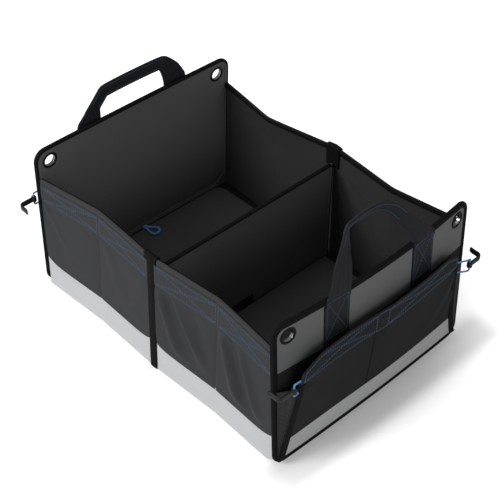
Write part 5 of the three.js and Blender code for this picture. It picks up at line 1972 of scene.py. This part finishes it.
@dataclass
class BottomCloth(Assembly):
    """Cloth under both compartments, turned up in the front corners."""

    corner: float = 21 * MM
    clearance: float = 0.3 * MM

    def stop(self, end: End, y: Array) -> Array:
        """X of the cloth's edge at one end."""
        held = self.form.panel_thickness / 2 + self.form.tape_reach + self.clearance
        return end.value * (self.form.end_reach(end, y, np.zeros_like(y)) - held)

    def lift(self, x: Array, y: Array, half: float) -> Array:
        """Height of the cloth above the floor: a quarter circle up to each wall, beside the front panel."""
        near_panel = smooth((x - self.stop(End.FRONT, y) + 26 * MM) / (20 * MM))
        return near_panel * rounded_off(np.abs(y) - half + self.corner, self.corner)

    def build(self) -> bpy.types.Object:
        """Makes the cloth, with rows close together at both side walls."""
        low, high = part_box("bottom_cloth")
        half = float(high[1])
        y = half * np.sin(np.linspace(-math.pi / 2, math.pi / 2, 90))[:, None]
        share = np.linspace(0.0, 1.0, 120)[None]
        x = mix(self.stop(End.REAR, y), self.stop(End.FRONT, y), share)
        lift = self.lift(x, y, half)
        y = y / half * (half - self.form.wall_inset(Side.LEFT, x, np.zeros_like(x)))
        top = np.stack([x, y, high[2] + lift], axis=-1)
        bottom = np.stack([x, y, low[2] + lift], axis=-1)
        return self.piece(
            skin(top, bottom), "bottom_lining", ["floor_cloth"], "lining_cloth", "bottom_cloth")


@dataclass
class BaseBoard(Assembly):
    """Covered board on one compartment's floor, with a cord loop to lift it by."""

    end: End
    thickness: float = 5 * MM
    half: float = 190 * MM
    corner: float = 20 * MM
    low: float = 2.8 * MM
    edge: float = 2.5 * MM
    loop_turn: float = 15.0

    @property
    def body(self) -> str:
        """Body that the board is on."""
        return f"{self.end.word}_board_body"

    def board(self) -> bpy.types.Object:
        """Board whose two faces meet in a rounded edge: thickness falls as a quarter circle at the rim."""
        near_box, far_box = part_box(f"{self.end.word}_base_board")
        near, far = sorted([abs(near_box[0]), abs(far_box[0])])
        fine = self.edge * (1.0 - np.cos(np.linspace(0.0, math.pi / 2, 6)))
        arc = far - self.corner * (1.0 - np.cos(np.linspace(0.0, math.pi / 2, 12)))[::-1]
        body = np.linspace(near + self.edge, far - self.corner, 30)[1:-1]
        x = np.concatenate([near + fine, body, arc])
        x = np.unique(np.concatenate([x, far - fine]))
        half = self.half - rounded_off(self.corner - (far - x), self.corner)
        inner = np.linspace(-1.0, 1.0, 60)[1:-1]
        rim = fine[:-1] / self.half
        frac = np.concatenate([-1 + rim, inner * (1 - self.edge / self.half), (1 - rim)[::-1]])
        y = half[None] * frac[:, None]
        x = np.broadcast_to(x[None], y.shape)
        gap = np.minimum(np.minimum(half[None] - np.abs(y), far - x), x - near)
        share = 1.0 - np.clip(gap / self.edge, 0.0, 1.0)
        thick = 0.5 * self.thickness * np.sqrt(np.clip(1.0 - share**2, 0.0, 1.0))
        middle = self.low + self.thickness / 2
        wave = 0.25 * MM * (np.sin(x * 37 + 0.6) * np.sin(y * 29 + 0.9)) * smooth(gap / (20 * MM))
        top = np.stack([self.end.value * x, y, middle + thick + wave - 0.1 * MM], axis=-1)
        bottom = np.stack([self.end.value * x, y, middle - thick], axis=-1)
        name, look = f"{self.end.word}_base_board", "board_cover"
        return self.piece(skin(top, bottom), f"{self.end.word}_board", [look], look, name, body=self.body)

    def loop(self) -> bpy.types.Object:
        """Teardrop of cord over the board's free edge, turned a little about its root."""
        low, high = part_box(f"{self.end.word}_base_board")
        far = max(abs(low[0]), abs(high[0]))
        radius = 2.3 * MM
        lift = self.low + self.thickness + radius + 0.2 * MM
        side = np.array([
            [far + radius, 2.2 * MM, self.low + self.thickness * 0.4], [far + radius, 2.2 * MM, lift],
            [far - 1 * MM, 2.3 * MM, lift], [far - 9 * MM, 3.4 * MM, lift], [far - 15 * MM, 8.0 * MM, lift],
            [far - 22 * MM, 10.2 * MM, lift], [far - 29 * MM, 7.0 * MM, lift], [far - 31 * MM, 0.0, lift],
        ])
        route = np.concatenate([side, (side * [1, -1, 1])[-2::-1]])
        angle = math.radians(self.loop_turn) * smooth((far - route[:, 0]) / (12 * MM))
        dx, dy = route[:, 0] - far, route[:, 1].copy()
        route[:, 0] = far + dx * np.cos(angle) + dy * np.sin(angle)
        route[:, 1] = dy * np.cos(angle) - dx * np.sin(angle)
        route[:, 0] *= self.end.value
        parts = outward(sweep(tube(rounded_route(route, 110), radius, 12)))
        name, look = f"{self.end.word}_pull_loop", "blue_cord"
        return self.piece(parts, f"{self.end.word}_loop_cord", [look], look, name, body=self.body)

    def build(self) -> None:
        """Makes the board and its loop."""
        self.board()
        self.loop()


# Studio


@dataclass(frozen=True)
class Lamp:
    """Square lamp that looks at the box: its place, the side of its square and its watts."""

    name: str
    place: tuple[float, float, float]
    size: float
    power: float
    target: tuple[float, float, float] = (0.0, 0.0, 0.12)

    def build(self) -> None:
        """Hangs the lamp."""
        data = bpy.data.lights.new(self.name, "AREA")
        data.shape = "SQUARE"
        data.size = self.size
        data.energy = self.power
        lamp = bpy.data.objects.new(self.name, data)
        lamp.location = self.place
        aim = Vector(self.target) - Vector(self.place)
        lamp.rotation_euler = aim.to_track_quat("-Z", "Y").to_euler()
        bpy.context.scene.collection.objects.link(lamp)


LAMPS = (
    Lamp("key", (-0.9, -3.0, 1.9), 1.4, 85.0),
    Lamp("side", (2.9, -0.5, 1.35), 1.5, 25.0),
    Lamp("top", (-0.3, -0.2, 3.2), 1.8, 15.0),
)


@dataclass
class Studio:
    """Camera at the photograph's angle, soft lamps, a pale floor and a plain world."""

    frame_pixels: float = 500.0
    focal_pixels: float = 1277.7
    sensor: float = 36.0
    azimuth: float = 45.98
    elevation: float = 41.46
    roll: float = 0.65
    eye: tuple[float, float, float] = (1.1673, -1.1224, 1.5614)
    world_light: float = 0.27
    floor_half: float = 9.0
    floor_drop: float = 0.0002
    floor_grey: float = 0.72
    # Camera-only floor glow: it rises with distance from the box, leaving painted shade near it, and is
    # lowered in front of the front end as a painted shadow.
    glow_span: tuple[float, float] = (0.31, 0.46)
    glow: tuple[float, float] = (0.42, 0.82)
    front_shade: float = 0.31
    shade_x: tuple[float, float, float, float] = (0.26, 0.30, 0.330, 0.365)
    shade_y: tuple[float, float, float, float] = (-0.28, -0.21, 0.25, 0.30)

    def camera(self) -> None:
        """Sets the camera from its place, its two angles and its roll."""
        az, el, roll = (math.radians(v) for v in (self.azimuth, self.elevation, self.roll))
        back = Vector((math.sin(az) * math.cos(el), -math.cos(az) * math.cos(el), math.sin(el)))
        level = Vector((math.cos(az), math.sin(az), 0.0))
        above = back.cross(level)
        right = math.cos(roll) * level + math.sin(roll) * above
        upward = -math.sin(roll) * level + math.cos(roll) * above
        data = bpy.data.cameras.new("camera")
        data.sensor_width = self.sensor
        data.lens = self.sensor * self.focal_pixels / self.frame_pixels
        data.clip_end = 30.0
        camera = bpy.data.objects.new("camera", data)
        turn = Matrix((right, upward, back)).transposed().to_4x4()
        camera.matrix_world = Matrix.Translation(self.eye) @ turn
        bpy.context.scene.collection.objects.link(camera)
        bpy.context.scene.camera = camera

    def world(self) -> None:
        """Plain world: white to the camera, softer for the light that it gives."""
        world = bpy.data.worlds.new("studio")
        world.use_nodes = True
        tree = world.node_tree
        background = tree.nodes["Background"]
        path = tree.nodes.new("ShaderNodeLightPath")
        strength = tree.nodes.new("ShaderNodeMapRange")
        tree.links.new(path.outputs["Is Camera Ray"], strength.inputs[0])
        strength.inputs[3].default_value = self.world_light
        strength.inputs[4].default_value = 1.0
        tree.links.new(strength.outputs[0], background.inputs["Strength"])
        background.inputs["Color"].default_value = (1.0, 1.0, 1.0, 1.0)
        bpy.context.scene.world = world

    def floor(self) -> None:
        """Wide pale floor that keeps the box's soft shadow. Its camera-only glow rises away from the box, so
        the far floor reads evenly white and the floor near the box keeps painted shade; a window in front of
        the front end lowers the glow as a painted shadow.
        """
        parts = MeshParts()
        places = np.linspace(-self.floor_half, self.floor_half, 3)
        x, y = np.meshgrid(places, places)
        parts.add_grid(np.stack([x, y, np.full_like(x, -self.floor_drop)], axis=-1))
        floor = parts.make("studio_floor")
        shader = Shader("studio_floor")
        shader.surface.inputs["Base Color"].default_value = (*[self.floor_grey] * 3, 1.0)
        shader.surface.inputs["Roughness"].default_value = 0.9
        shader.surface.inputs["Specular IOR Level"].default_value = 0.0
        path = shader.node("LightPath")
        place = shader.node("TexCoord").outputs["Object"]
        span = shader.node("VectorMath", operation="LENGTH")
        shader.link(place, span.inputs[0])
        split = shader.node("SeparateXYZ")
        shader.link(place, split.inputs[0])
        # Glow that rises with distance from the box: the far floor reads white, and the near floor keeps
        # painted shade.
        base = shader.ease(span.outputs["Value"], *self.glow_span, *self.glow)
        # Painted shadow: a window in front of the front end takes glow away.
        along = shader.window(split.outputs[0], self.shade_x)
        across = shader.window(split.outputs[1], self.shade_y)
        shade = shader.math("MULTIPLY", shader.math("MULTIPLY", along, across), self.front_shade)
        glow = shader.math("SUBTRACT", base, shade)
        seen = shader.math("MULTIPLY", glow, path.outputs["Is Camera Ray"])
        shader.surface.inputs["Emission Color"].default_value = (1.0, 1.0, 1.0, 1.0)
        shader.link(seen, shader.surface.inputs["Emission Strength"])
        floor.data.materials.append(shader.material)
        floor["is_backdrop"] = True

    def build(self) -> None:
        """Makes the studio."""
        self.camera()
        self.world()
        self.floor()
        for lamp in LAMPS:
            lamp.build()
        bpy.context.scene.view_settings.view_transform = "Standard"


def corners(box: tuple[Vector, Vector]) -> list[list[float]]:
    """Lowest and highest corner as plain lists."""
    return [list(map(float, point)) for point in box]


def main() -> None:
    """Builds the looks of the box round the frame, part by part."""
    logging.basicConfig(level=logging.INFO, format="%(name)s: %(message)s")
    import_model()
    cad = corners(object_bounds())
    Studio().build()
    form, finishes = ShellForm(), Finishes()
    for end in End:
        EndPanel(form, finishes, end).build()
    Handle(form, finishes, End.REAR, REAR_SPINE, 0.0).build()
    Handle(form, finishes, End.FRONT, FRONT_SPINE, -0.33).build()
    for side in Side:
        SideWall(form, finishes, side).build()
    for end in End:
        pocket = EndPocket(form, finishes, end)
        pocket.build()
        CordHooks(form, finishes, pocket).build()
        BaseBoard(form, finishes, end).build()
    Divider(form, finishes).build()
    BottomCloth(form, finishes).build()
    {"cad": cad, "visual": corners(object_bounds())}


if __name__ == "__main__":
    main()
